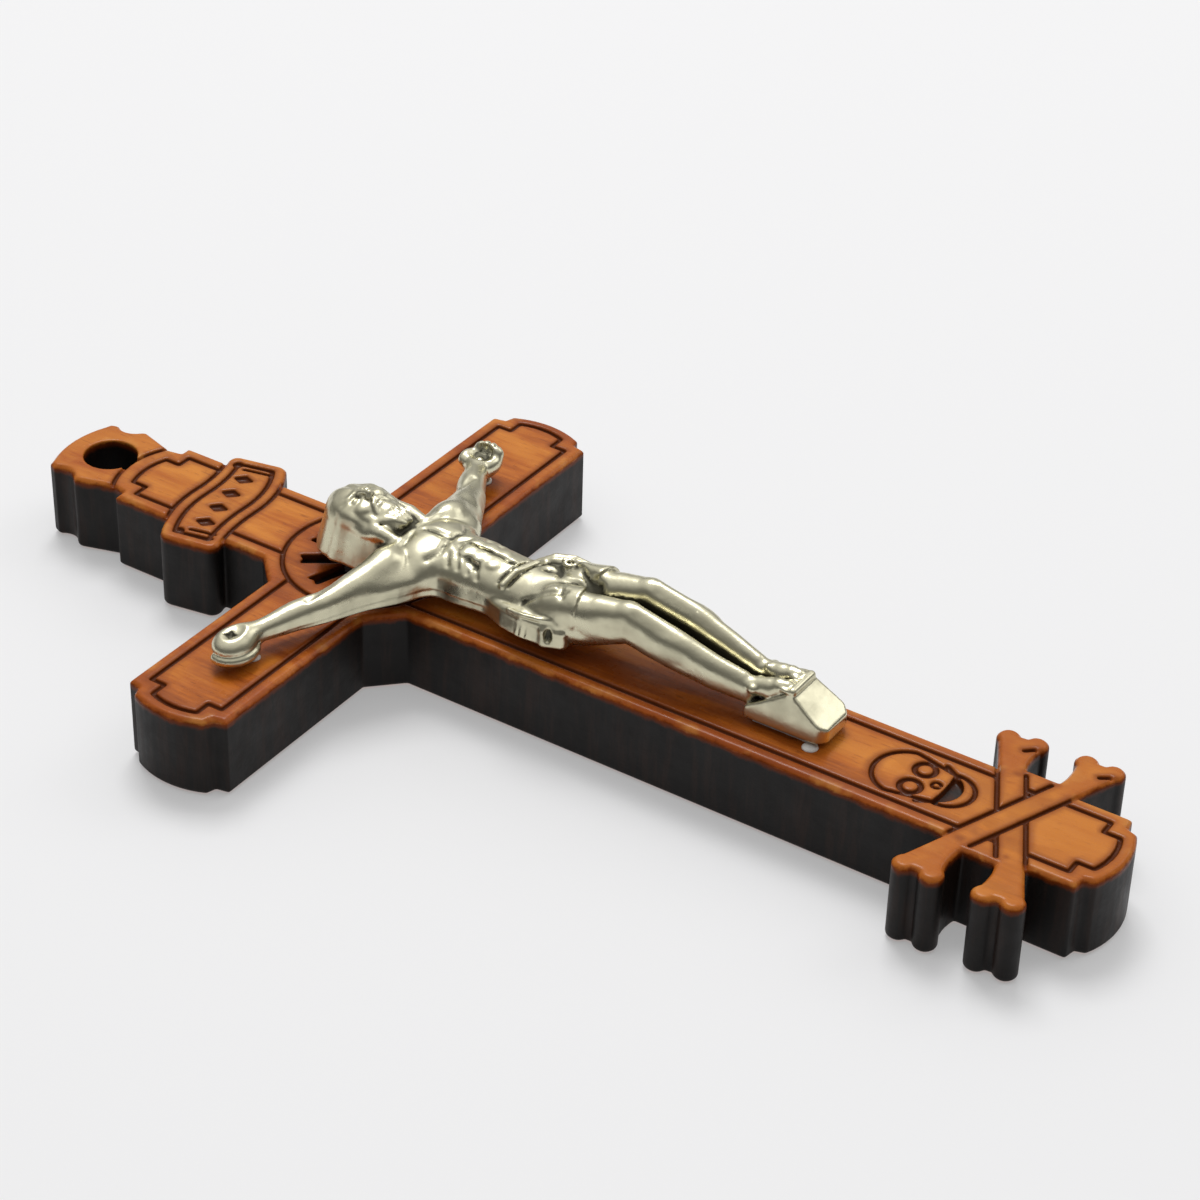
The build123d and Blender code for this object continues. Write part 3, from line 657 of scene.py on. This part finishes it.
def sculptLeg(clay, side, stations):
    # Tall section: the casting goes straight down below the leg's widest line
    for sink, share in ((0.0, 1.0), (0.75, 1.04), (1.5, 1.06)):
        low = [(x, y, h - sink * min(r / 1.45, 1.3), r * share) for x, y, h, r in stations[:6]]
        addChain(clay, low, 0.4)
    addChain(clay, stations, 0.5)
    thigh, mid, knee, calf, shin, ankle = [np.array(s[:3]) for s in stations[:6]]
    addBall(clay, (thigh + mid) / 2 + (side * 0.2, 0, 0.25), (1.8, 4.2, 1.7), 0.6, turn=(12, 0, 0))
    addBall(clay, knee + (0, 0.1, 0.3), (1.15, 1.3, 1.25), 0.5)
    addBall(clay, calf + (side * 0.35, 0.6, -0.35), (1.2, 3.2, 1.5), 0.7, turn=(-8, 0, 0))
    ridge(clay, [(knee[0], knee[1] - 0.9, 0.5), (calf[0], calf[1], 0.5), (shin[0], shin[1], 0.45),
                 (ankle[0], ankle[1] + 0.6, 0.4)], 0.12, 0.6)
    addBall(clay, ankle + (side * 0.75, -0.9, 0.35), (0.5, 0.55, 0.5), 0.2)
    addBall(clay, ankle + (side * -0.6, -1.0, 0.75), (0.42, 0.45, 0.45), 0.18)


def addPartingLine(clay):
    # Where the two halves of the mould met: a thin ragged flash, and a wall set back below it
    size = figure
    axes = [clay["low"][i] + clay["voxel"] * np.arange(clay["field"].shape[i]) for i in range(3)]
    x, y, h = axes[0][:, None, None], axes[1][None, :, None], axes[2][None, None, :]
    level = size["partLevel"] - size["partFall"] * np.maximum(np.abs(x) - size["partFrom"], 0)
    ragged = 0.7 + 0.3 * np.sin(2.1 * x + 3.3 * y) * np.sin(1.3 * y - 0.9 * x)
    flash = size["flash"] * ragged * np.exp(-((h - level) / size["flashHeight"]) ** 2)
    setBack = size["setBack"] / (1 + np.exp(np.clip((h - level) / size["setBackFade"], -30, 30)))
    # The legs were dressed smooth
    kept = 1 / (1 + np.exp(np.clip(size["dressedFrom"] - y, -30, 30)))
    clay["field"] += (kept * (setBack - flash)).astype(np.float32)


def sculptFoot(clay, side, heel, toe):
    heel, toe = np.array(heel), np.array(toe)
    addChain(clay, [(*heel, 1.0), at((heel + toe) / 2, (0, 0, 0.15), 0.95), (*toe, 0.72)], 0.4)
    bigToe, longest = (0, 3.2) if side > 0 else (4, 0.8)
    for index in range(5):
        swing = (index - 2) / 2
        length = 0.75 - 0.22 * abs(index - longest) / 2
        radius = 0.34 if index == bigToe else 0.26
        start = toe + (swing * 0.72, 0.25, 0.12)
        addChain(clay, [(*start, radius), at(start, (swing * 0.1, -length, 0.02), radius)], 0.1)


def addHem(clay, stations, hemY, slant):
    # Cloth round a thigh, ended by a straight hem
    where, grid = clayPatch(clay, [station[:3] for station in stations], 3.2)
    past = hemY + slant * (grid[..., 0] - stations[0][0]) - grid[..., 1]
    press(clay, where, -softMin(-chainShape(grid, stations, None), -past, 0.2), 0.12)


def sculptCloth(clay):
    # Wrap round the hips and over both thighs
    addBall(clay, (0.3, -22.8, 3.4), (4.3, 3.8, 2.85), 0.6)
    addBall(clay, (-1.8, -25.2, 4.1), (2.5, 3.4, 2.5), 0.8)
    addBall(clay, (2.2, -25.0, 4.5), (2.5, 3.5, 2.5), 0.8)
    addHem(clay, [(-1.65, -25.2, 4.55, 2.45), (-1.6, -26.0, 4.75, 2.5), (-1.4, -29.5, 5.5, 2.35)], -28.0, 0.2)
    addHem(clay, [(2.25, -25.2, 4.95, 2.45), (2.3, -26.0, 5.15, 2.5), (2.65, -29.5, 6.0, 2.35)], -28.0, -0.2)
    band = [(-2.6, -19.0), (-0.8, -19.4), (2.0, -20.0), (3.1, -20.3)]
    ridge(clay, [(x, y, 0.45) for x, y in band], 0.34, 0.12)
    for shift in (0.62, -0.62):
        carve(clay, [(x, y + shift, 0.18) for x, y in band], 0.16, 0.15)
    carve(clay, [(1.6, -21.8, 0.6), (1.7, -23.8, 0.8), (1.1, -26.4, 0.8), (0.8, -28.2, 0.6)], 0.45, 0.8)
    # Folds drawn towards the knot
    for path in (
        [(3.0, -22.0, 0.2), (1.0, -23.6, 0.25), (-1.2, -25.2, 0.22), (-3.0, -26.4, 0.18)],
        [(3.2, -23.0, 0.2), (2.2, -25.2, 0.26), (0.9, -27.4, 0.2)],
        [(-3.4, -22.0, 0.2), (-2.9, -24.0, 0.22), (-2.2, -26.4, 0.18)],
    ):
        carve(clay, path, 0.1, 0.5)
    addChain(clay, [(0.3, -24.0, 7.1, 0.45), (0.3, -28.6, 6.2, 0.5)], 0.5, cut=True)
    # Knot and the roll that hangs from it on the far hip
    addChain(clay, [(3.4, -19.6, 5.0, 0.6), (4.1, -21.0, 5.3, 0.95), (4.6, -22.8, 5.3, 1.1),
                    (5.0, -24.6, 5.0, 0.95), (5.2, -26.0, 4.6, 0.5)], 0.4)
    addChain(clay, [(3.6, -20.2, 6.2, 0.18), (4.3, -22.2, 6.5, 0.2), (5.0, -24.6, 6.0, 0.18)], 0.3, cut=True)
    curl = np.array((2.9, -23.4, 6.6))
    spiral = []
    for a in np.linspace(0, 7.5, 16):
        wide = 0.2 + 0.1 * a
        spiral.append(at(curl, (wide * math.cos(a), wide * math.sin(a), 0.35 - 0.05 * a), 0.24))
    addChain(clay, spiral, 0.15)
    # Loose end that hangs straight down on the near hip, its fold open at the end
    hanging = [(-3.0, -17.6, 3.3, 0.45), (-3.75, -20.2, 3.5, 0.75), (-4.05, -22.6, 3.7, 0.9),
               (-3.9, -24.6, 3.8, 0.95), (-3.5, -26.4, 3.9, 0.85)]
    addChain(clay, hanging, 0.3, drop=3.4)
    crease = [(-4.7, -20.6, 4.0, 0.12), (-5.0, -22.6, 4.1, 0.14), (-4.8, -24.8, 4.2, 0.14)]
    addChain(clay, crease, 0.25, cut=True)
    roll = [(-4.6, -21.0, 4.3, 0.22), (-4.85, -22.8, 4.45, 0.24), (-4.6, -24.8, 4.55, 0.24),
            (-4.0, -26.2, 4.6, 0.24)]
    addChain(clay, roll, 0.2)
    addChain(clay, [(-4.3, -25.4, 3.3, 0.75), (-3.7, -27.0, 3.2, 0.7)], 0.2, drop=3.0)
    addBall(clay, (-4.75, -26.0, 3.1), (0.45, 0.45, 0.85), 0.15, cut=True, turn=(0, 0, 30))
    for shift in (0.0, 0.6, 1.2, 1.9):
        foot = (-5.02 + shift * 0.02, -21.3 - shift, 2.0, 0.08)
        head = (-5.05 + shift * 0.02, -21.5 - shift, 3.6, 0.08)
        addChain(clay, [foot, head], 0.2, cut=True)


def sculptHead(clay):
    centre = np.array((-0.35, -0.1, 5.0))
    base = (2.85, 4.1, 3.4)
    angles = (-figure["headNod"], figure["headTurn"], figure["headTilt"])
    turn = turnMatrix(angles)

    def spot(u, v, lift=0.0):
        # A point on the face's base form, u across and v towards the crown
        inside = max(1 - (u / base[0]) ** 2 - (v / base[1]) ** 2, 0.02)
        local = np.array((u, v, base[2] * math.sqrt(inside) + lift))
        return turn @ local + centre

    def mark(u, v, lift, radius):
        # A chain's station on the face
        return (*spot(u, v, lift), radius)

    def strand(grid):
        local = (grid - centre.astype(np.float32)) @ turn.astype(np.float32)
        around = np.arctan2(local[..., 1] + 0.6, local[..., 0])
        return 0.06 * np.sin(around * 11 + 0.9 * np.sin(around * 5))

    # Hair: a cap that falls straight to the back, then locks on both shoulders
    addBall(clay, centre + (-0.1, 0.75, 0.6), (3.45, 4.05, 2.75), 0.3, drop=figure["hairDraft"], wave=strand)
    addBall(clay, centre + (-0.2, -1.9, 0.3), (3.3, 3.5, 2.2), 0.5, drop=figure["hairDraft"], wave=strand)
    for side in (-1, 1):
        lock = [mark(side * 2.2, 0.6, -0.2, 0.9), mark(side * 2.55, -1.4, -0.6, 0.85),
                at(centre, (side * 2.45, -3.6, 0.8), 1.0), at(centre, (side * 2.4, -5.6, 0.5), 0.7)]
        addChain(clay, lock, 0.4, drop=centre[2] + 0.3, wallLean=figure["hairDraft"])
    # Face
    addBall(clay, centre, base, 0.15, turn=angles)
    addBall(clay, spot(0, -2.9, -1.0), (1.55, 1.35, 1.3), 0.5, turn=angles)
    for side in (-1, 1):
        addBall(clay, spot(side * 1.35, -0.95, -0.35), (0.85, 0.8, 0.6), 0.4, turn=angles)
        addChain(clay, [mark(side * 0.4, 0.75, 0.0, 0.3), mark(side * 1.2, 0.85, 0.02, 0.32),
                        mark(side * 1.9, 0.55, 0.0, 0.28)], 0.35)
        addBall(clay, spot(side * 1.05, 0.15, 0.32), (0.72, 0.42, 0.5), 0.35, cut=True, turn=angles)
        addBall(clay, spot(side * 1.05, 0.12, -0.22), (0.6, 0.38, 0.45), 0.15, turn=angles)
        addChain(clay, [mark(side * 0.6, -0.05, 0.08, 0.05), mark(side * 1.05, -0.14, 0.16, 0.06),
                        mark(side * 1.5, -0.02, 0.06, 0.05)], 0.06, cut=True)
        addBall(clay, spot(side * 0.34, -1.12, 0.22), (0.3, 0.3, 0.3), 0.15, turn=angles)
        addChain(clay, [mark(side * 0.12, -1.62, 0.12, 0.2), mark(side * 0.7, -1.85, 0.1, 0.26),
                        mark(side * 1.2, -2.5, 0.0, 0.24)], 0.2)
    # Nose, lips and the line between them
    addChain(clay, [mark(0, 0.75, 0.0, 0.26), mark(0, -0.2, 0.3, 0.28), mark(0, -1.0, 0.5, 0.36)], 0.22)
    upperLip = [mark(-0.6, -2.0, 0.05, 0.16), mark(0, -1.95, 0.14, 0.18), mark(0.6, -2.0, 0.05, 0.16)]
    addChain(clay, upperLip, 0.12)
    lowerLip = [mark(-0.45, -2.36, 0.05, 0.18), mark(0, -2.4, 0.12, 0.2), mark(0.45, -2.36, 0.05, 0.18)]
    addChain(clay, lowerLip, 0.12)
    mouth = [mark(-0.7, -2.2, 0.16, 0.05), mark(0, -2.17, 0.3, 0.06), mark(0.7, -2.2, 0.16, 0.05)]
    addChain(clay, mouth, 0.06, cut=True)
    # Groove that parts the face from the hair
    for side in (-1, 1):
        groove = [mark(side * 2.35, 0.9, 0.35, 0.12), mark(side * 2.5, -0.6, 0.3, 0.2),
                  mark(side * 2.3, -2.2, 0.25, 0.22), at(centre, (side * 1.9, -3.6, 1.9), 0.16)]
        addChain(clay, groove, 0.3, cut=True)
    # Beard with its locks
    beard = centre + (-0.15, -4.1, 1.55)
    addBall(clay, beard, (1.45, 1.3, 1.1), 0.4, turn=angles)
    for side in (-1, 1):
        lock = [mark(side * 2.0, -1.3, -0.1, 0.45), mark(side * 1.75, -2.5, -0.1, 0.5),
                at(beard, (side * 0.7, -0.3, 0.45), 0.55), at(beard, (side * 0.45, -1.25, 0.3), 0.32)]
        addChain(clay, lock, 0.25)
    for index in range(5):
        u = (index - 2) * 0.5
        parting = [at(beard, (u * 0.9, 0.7, 1.15 - 0.12 * u * u), 0.07),
                   at(beard, (u * 0.75, -1.2, 0.8), 0.07)]
        addChain(clay, parting, 0.14, cut=True)
    # Edge of the hair round the face
    for side in (-1, 1):
        fringe = [mark(0.0, 3.1, 0.2, 0.42), mark(side * 1.3, 2.5, 0.22, 0.5),
                  mark(side * 2.2, 1.2, 0.25, 0.55), mark(side * 2.5, -0.4, 0.3, 0.55),
                  mark(side * 2.45, -1.9, 0.35, 0.5)]
        addChain(clay, fringe, 0.25)


footBlock = dict(
    x=0.68, top=-47.5, end=-56.7, ridge=-52.4, heelRise=1.9, gap=0.6, lip=2.1, height=5.0,
    halfBase=2.8, halfTop=2.15, corner=0.9, barRadius=0.45, barInset=0.35, barRise=0.02,
)


def sculptBlock(clay):
    size = footBlock
    where, grid = clayPatch(clay, [(size["x"] - size["halfBase"], size["end"], size["gap"]),
                                   (size["x"] + size["halfBase"], size["top"], size["height"])], 1.0)
    x, y, h = np.abs(grid[..., 0] - size["x"]), grid[..., 1], grid[..., 2]

    def plane(px, py, ph, nx, ny, nh):
        length = math.sqrt(nx * nx + ny * ny + nh * nh)
        return ((x - px) * nx + (y - py) * ny + (h - ph) * nh) / length

    toeRise, endRise = size["height"] - size["heelRise"], size["height"] - size["lip"]
    sideSlope = (size["halfBase"] - size["halfTop"]) / endRise
    walls = [
        plane(0, 0, size["gap"], 0, 0, -1),
        plane(0, size["ridge"], size["height"], 0, toeRise, size["top"] - size["ridge"]),
        plane(size["halfBase"], 0, 0, 1, 0, 0),
        plane(size["halfBase"], 0, size["lip"], 1, 0, sideSlope),
        plane(0, size["end"], 0, 0, -1, 0),
        plane(0, size["end"], size["lip"], 0, -endRise, size["ridge"] - size["end"]),
        plane(0, size["top"], 0, 0, 1, 0),
        plane(size["halfBase"] - size["corner"], size["end"], 0, 1, -1, 0),
    ]
    shape = walls[0]
    for wall in walls[1:]:
        shape = -softMin(-shape, -wall, 0.25)
    press(clay, where, shape, 0.15)
    # Rounded bar along the ridge
    bar, edge = size["height"] + size["barRise"], size["halfTop"] - size["barInset"]
    addChain(clay, [(size["x"] - edge, size["ridge"], bar, size["barRadius"]),
                    (size["x"] + edge, size["ridge"], bar, size["barRadius"])], 0.2)


def makeFigure():
    size = figure
    clay = newClay(size["low"], size["high"], size["voxel"])
    sculptBody(clay)
    for side, name in ((-1, "near"), (1, "far")):
        sculptArm(clay, side, armStations[name])
    for side, name in ((-1, "near"), (1, "far")):
        sculptLeg(clay, side, legStations[name])
    # Thin web of metal between the legs, and painted shade there, under the beard and round the knot
    pairs = list(zip(legStations["near"], legStations["far"]))[:6]
    addChain(clay, [((n[0] + f[0]) / 2, n[1], (n[2] + f[2]) / 2 - 3.0, 1.0) for n, f in pairs], 0.4)
    clay["shaded"] += [[((n[0] + f[0]) / 2 + 0.45, n[1], (n[2] + f[2]) / 2 - 0.8, 1.0) for n, f in pairs],
                       [(-0.4, -5.6, 5.4, 0.5), (1.8, -4.4, 5.6, 0.5)],
                       [(3.0, -21.4, 6.0, 0.4), (2.8, -24.6, 6.2, 0.5), (1.2, -27.6, 5.6, 0.6)]]
    addPartingLine(clay)
    sculptCloth(clay)
    sculptFoot(clay, -1, (-0.6, -49.8, 4.0), (-0.5, -51.5, 4.85))
    sculptFoot(clay, 1, (1.7, -49.8, 4.3), (1.75, -51.5, 4.95))
    sculptHead(clay)
    # Flat back of the casting
    heights = clay["low"][2] + clay["voxel"] * np.arange(clay["field"].shape[2])
    behind = (heights - size["backLevel"]).astype(np.float32)
    clay["field"] = -softMin(-clay["field"], behind[None, None, :], size["backRound"])
    sculptNearHand(clay)
    sculptFarHand(clay)
    sculptBlock(clay)
    for x, y in size["pegPlaces"]:
        addChain(clay, [(x, y, level, size["pegRadius"]) for level in size["pegEnds"]], 0.3)
    piece = clayPiece("cast_figure", clay, metalLook)
    print("figure faces", len(piece.data.polygons))
    return piece


glueBead = dict(
    waver=0.5, step=0.12, voxel=0.07, pattern=900.0,
    handReach=1.0, handRadius=0.18, handDrop=(0.7, 0.5, 0.3),
    handDropShift={"glue_near_hand": (0.4, -1.1), "glue_far_hand": (0.0, 0.4)},
    footRadius=0.18, footInset=0.85, footCorner=1.0, footSeed=8,
    dropPlace=(-2.6, -7.7), dropRadius=0.9, dropFlat=0.45,
)


def makeBeadTree():
    # A bead of uneven thickness along a closed path, run together with one drop
    tree = bpy.data.node_groups.new("glue_bead", "GeometryNodeTree")
    tree.interface.new_socket("Geometry", in_out="INPUT", socket_type="NodeSocketGeometry")
    for name, kind in (("Bead Radius", "Float"), ("Waver", "Float"), ("Step", "Float"), ("Voxel", "Float"),
                       ("Drop Place", "Vector"), ("Drop Size", "Vector"), ("Seed", "Float"),
                       ("Material", "Material")):
        tree.interface.new_socket(name, in_out="INPUT", socket_type="NodeSocket" + kind)
    tree.interface.new_socket("Geometry", in_out="OUTPUT", socket_type="NodeSocketGeometry")
    source = addNode(tree, "NodeGroupInput").outputs
    path = addNode(tree, "GeometryNodeMeshToCurve", {0: source["Geometry"]}).outputs[0]
    path = addNode(tree, "GeometryNodeResampleCurve", {"Curve": path, "Length": source["Step"]},
                   mode="LENGTH").outputs[0]
    pattern = {"W": source["Seed"], "Scale": glueBead["pattern"], "Detail": 1.0}
    noise = addNode(tree, "ShaderNodeTexNoise", pattern, noise_dimensions="4D").outputs[0]
    swing = addMath(tree, "MULTIPLY", addMath(tree, "SUBTRACT", noise, 0.5), source["Waver"])
    swing = addMath(tree, "ADD", addMath(tree, "MULTIPLY", swing, 2.0), 1.0)
    radius = addMath(tree, "MULTIPLY", source["Bead Radius"], swing)
    path = addNode(tree, "GeometryNodeSetCurveRadius", {"Curve": path, "Radius": radius}).outputs[0]
    ring = addNode(tree, "GeometryNodeCurvePrimitiveCircle", {"Resolution": 12, "Radius": 1.0}).outputs[0]
    held = addNode(tree, "GeometryNodeInputRadius").outputs[0]
    sweep = addNode(tree, "GeometryNodeCurveToMesh", {"Curve": path, "Profile Curve": ring, "Scale": held})
    drop = addNode(tree, "GeometryNodeMeshUVSphere", {"Segments": 24, "Rings": 16, "Radius": 1.0}).outputs[0]
    drop = addNode(tree, "GeometryNodeTransform", {"Geometry": drop, "Translation": source["Drop Place"],
                                                   "Scale": source["Drop Size"]}).outputs[0]
    both = addNode(tree, "GeometryNodeJoinGeometry")
    tree.links.new(sweep.outputs[0], both.inputs[0])
    tree.links.new(drop, both.inputs[0])
    inside = {"Mesh": both.outputs[0], "Voxel Size": source["Voxel"]}
    volume = addNode(tree, "GeometryNodeMeshToVolume", inside, resolution_mode="VOXEL_SIZE")
    skin = addNode(tree, "GeometryNodeVolumeToMesh", {"Volume": volume.outputs[0]}).outputs[0]
    skin = addNode(tree, "GeometryNodeSetShadeSmooth", {"Geometry": skin}).outputs[0]
    skin = addNode(tree, "GeometryNodeRealizeInstances", {"Geometry": skin}).outputs[0]
    skin = addNode(tree, "GeometryNodeSetMaterial", {"Geometry": skin, "Material": source["Material"]})
    tree.links.new(skin.outputs[0], addNode(tree, "NodeGroupOutput").inputs[0])
    return tree


beadTree = makeBeadTree()


def makeBead(name, loop, radius, dropPlace, dropSize, seed):
    # The loop and the drop are in mm from the crossing, on the board's face
    mesh = bpy.data.meshes.new(name)
    spots = [[(v + o) * mm for v, o in zip((x, y, 0.0), faceOrigin)] for x, y in loop]
    mesh.from_pydata(spots, [(i, (i + 1) % len(spots)) for i in range(len(spots))], [])
    bead = newObject(name, mesh)
    grown = bead.modifiers.new("glue", "NODES")
    grown.node_group = beadTree
    given = {"Bead Radius": radius * mm, "Waver": glueBead["waver"], "Step": glueBead["step"] * mm,
             "Voxel": glueBead["voxel"] * mm, "Seed": float(seed), "Material": glueLook,
             "Drop Place": [(v + o) * mm for v, o in zip((*dropPlace, 0.0), faceOrigin)],
             "Drop Size": [v * mm for v in dropSize]}
    for item in beadTree.interface.items_tree:
        if item.item_type == "SOCKET" and item.in_out == "INPUT" and item.name in given:
            grown[item.identifier] = given[item.name]
    return settle(bead)


def makeHandGlue(name, x, y, dropShift, seed):
    size = glueBead
    reach = size["handReach"]
    turns = np.linspace(0, 2 * math.pi, 24, endpoint=False)
    loop = [(x + reach * math.cos(a), y + reach * math.sin(a)) for a in turns]
    drop = (x + dropShift[0], y + dropShift[1])
    return makeBead(name, loop, size["handRadius"], drop, size["handDrop"], seed)


def makeFootGlue(name):
    size, block = glueBead, footBlock
    edge, corner = block["halfBase"] - size["footInset"], size["footCorner"]
    low, high = block["end"] + size["footInset"], block["top"] - size["footInset"]
    half = [(edge, high), (edge, low + corner), (edge - corner, low)]
    loop = [(block["x"] - u, v) for u, v in half] + [(block["x"] + u, v) for u, v in reversed(half)]
    drop = size["dropRadius"]
    place = (block["x"] + size["dropPlace"][0], block["top"] + size["dropPlace"][1])
    dropSize = (drop, drop, drop * size["dropFlat"])
    return makeBead(name, loop, size["footRadius"], place, dropSize, size["footSeed"])


carvedBoard = makeBoard()
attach(carvedBoard, "root")
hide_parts("cross_board")

castFigure = makeFigure()
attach(castFigure, "root")
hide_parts("corpus")

for seed, (node, dropShift) in enumerate(glueBead["handDropShift"].items()):
    bead = makeHandGlue("bead_" + node, *figure["pegPlaces"][seed], dropShift, seed)
    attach(bead, "root")
    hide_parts(node)
footBead = makeFootGlue("bead_glue_foot")
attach(footBead, "root")
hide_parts("glue_foot")
print("glue made")


# Floor, light and camera
studio = dict(
    floorSize=6.0, floorDrop=0.00005, floorColour=(0.55, 0.55, 0.557), floorRoughness=0.7, floorGlow=0.29,
    worldLow=0.14, worldHigh=0.80, worldRise=(0.25, 0.95), worldColour=(1.0, 0.995, 0.99),
    behind=(0.84, 0.54, 0.0), behindShare=0.35,
    panelSize=0.5, panels=dict(overhead=((0.42, 0.36, 1.1), 7.4), right=((0.75, -0.42, 0.66), 1.0)),
)


def makeFloor():
    mesh = bpy.data.meshes.new("floor")
    half = studio["floorSize"] / 2
    corners = [(-half, -half, 0), (half, -half, 0), (half, half, 0), (-half, half, 0)]
    mesh.from_pydata(corners, [], [(0, 1, 2, 3)])
    material, tree, shader = newMaterial("pale_floor")
    shader.inputs["Base Color"].default_value = (*studio["floorColour"], 1)
    shader.inputs["Roughness"].default_value = studio["floorRoughness"]
    shader.inputs["Emission Color"].default_value = (1, 1, 1, 1)
    shader.inputs["Emission Strength"].default_value = studio["floorGlow"]
    mesh.materials.append(material)
    floor = newObject("floor", mesh)
    floor.location.z = -studio["floorDrop"]


def makeWorld():
    world = bpy.data.worlds.new("studio")
    bpy.context.scene.world = world
    world.use_nodes = True
    tree = world.node_tree
    back = tree.nodes["Background"]
    place = addNode(tree, "ShaderNodeTexCoord").outputs["Generated"]
    up = addNode(tree, "ShaderNodeSeparateXYZ", {0: place}).outputs["Z"]
    behind = addNode(tree, "ShaderNodeVectorMath", {0: place, 1: studio["behind"]}, operation="DOT_PRODUCT")
    level = addShare(tree, up, behind.outputs["Value"], studio["behindShare"])
    light = addRange(tree, level, *studio["worldRise"], studio["worldLow"], studio["worldHigh"])
    tree.links.new(light, back.inputs["Strength"])
    back.inputs["Color"].default_value = (*studio["worldColour"], 1)


def addPanel(name, place, power):
    # A square soft light that looks at the origin
    light = bpy.data.lights.new(name, "AREA")
    light.size = studio["panelSize"]
    light.energy = power
    lamp = bpy.data.objects.new(name, light)
    lamp.location = place
    lamp.rotation_euler = (-Vector(place)).to_track_quat("-Z", "Y").to_euler()
    bpy.context.scene.collection.objects.link(lamp)


photoCamera = dict(
    eye=(-0.22590, -0.15020, 0.19650), look=(0.69765, 0.44686, -0.56000), up=(0.4558, 0.3262, 0.8281),
    lens=96.47, sensor=36.0, nearest=0.01, farthest=20.0,
)


def makeCamera():
    spec = photoCamera
    data = bpy.data.cameras.new("camera")
    data.lens = spec["lens"]
    data.sensor_width = spec["sensor"]
    data.clip_start = spec["nearest"]
    data.clip_end = spec["farthest"]
    camera = bpy.data.objects.new("camera", data)
    back = -Vector(spec["look"]).normalized()
    right = Vector(spec["up"]).cross(back).normalized()
    up = back.cross(right)
    camera.matrix_world = Matrix((
        (right.x, up.x, back.x, spec["eye"][0]),
        (right.y, up.y, back.y, spec["eye"][1]),
        (right.z, up.z, back.z, spec["eye"][2]),
        (0, 0, 0, 1)))
    bpy.context.scene.collection.objects.link(camera)
    bpy.context.scene.camera = camera


makeFloor()
makeWorld()
for panel, (place, power) in studio["panels"].items():
    addPanel(panel, place, power)
makeCamera()
bpy.context.scene.view_settings.view_transform = "Standard"

print("scene ready")
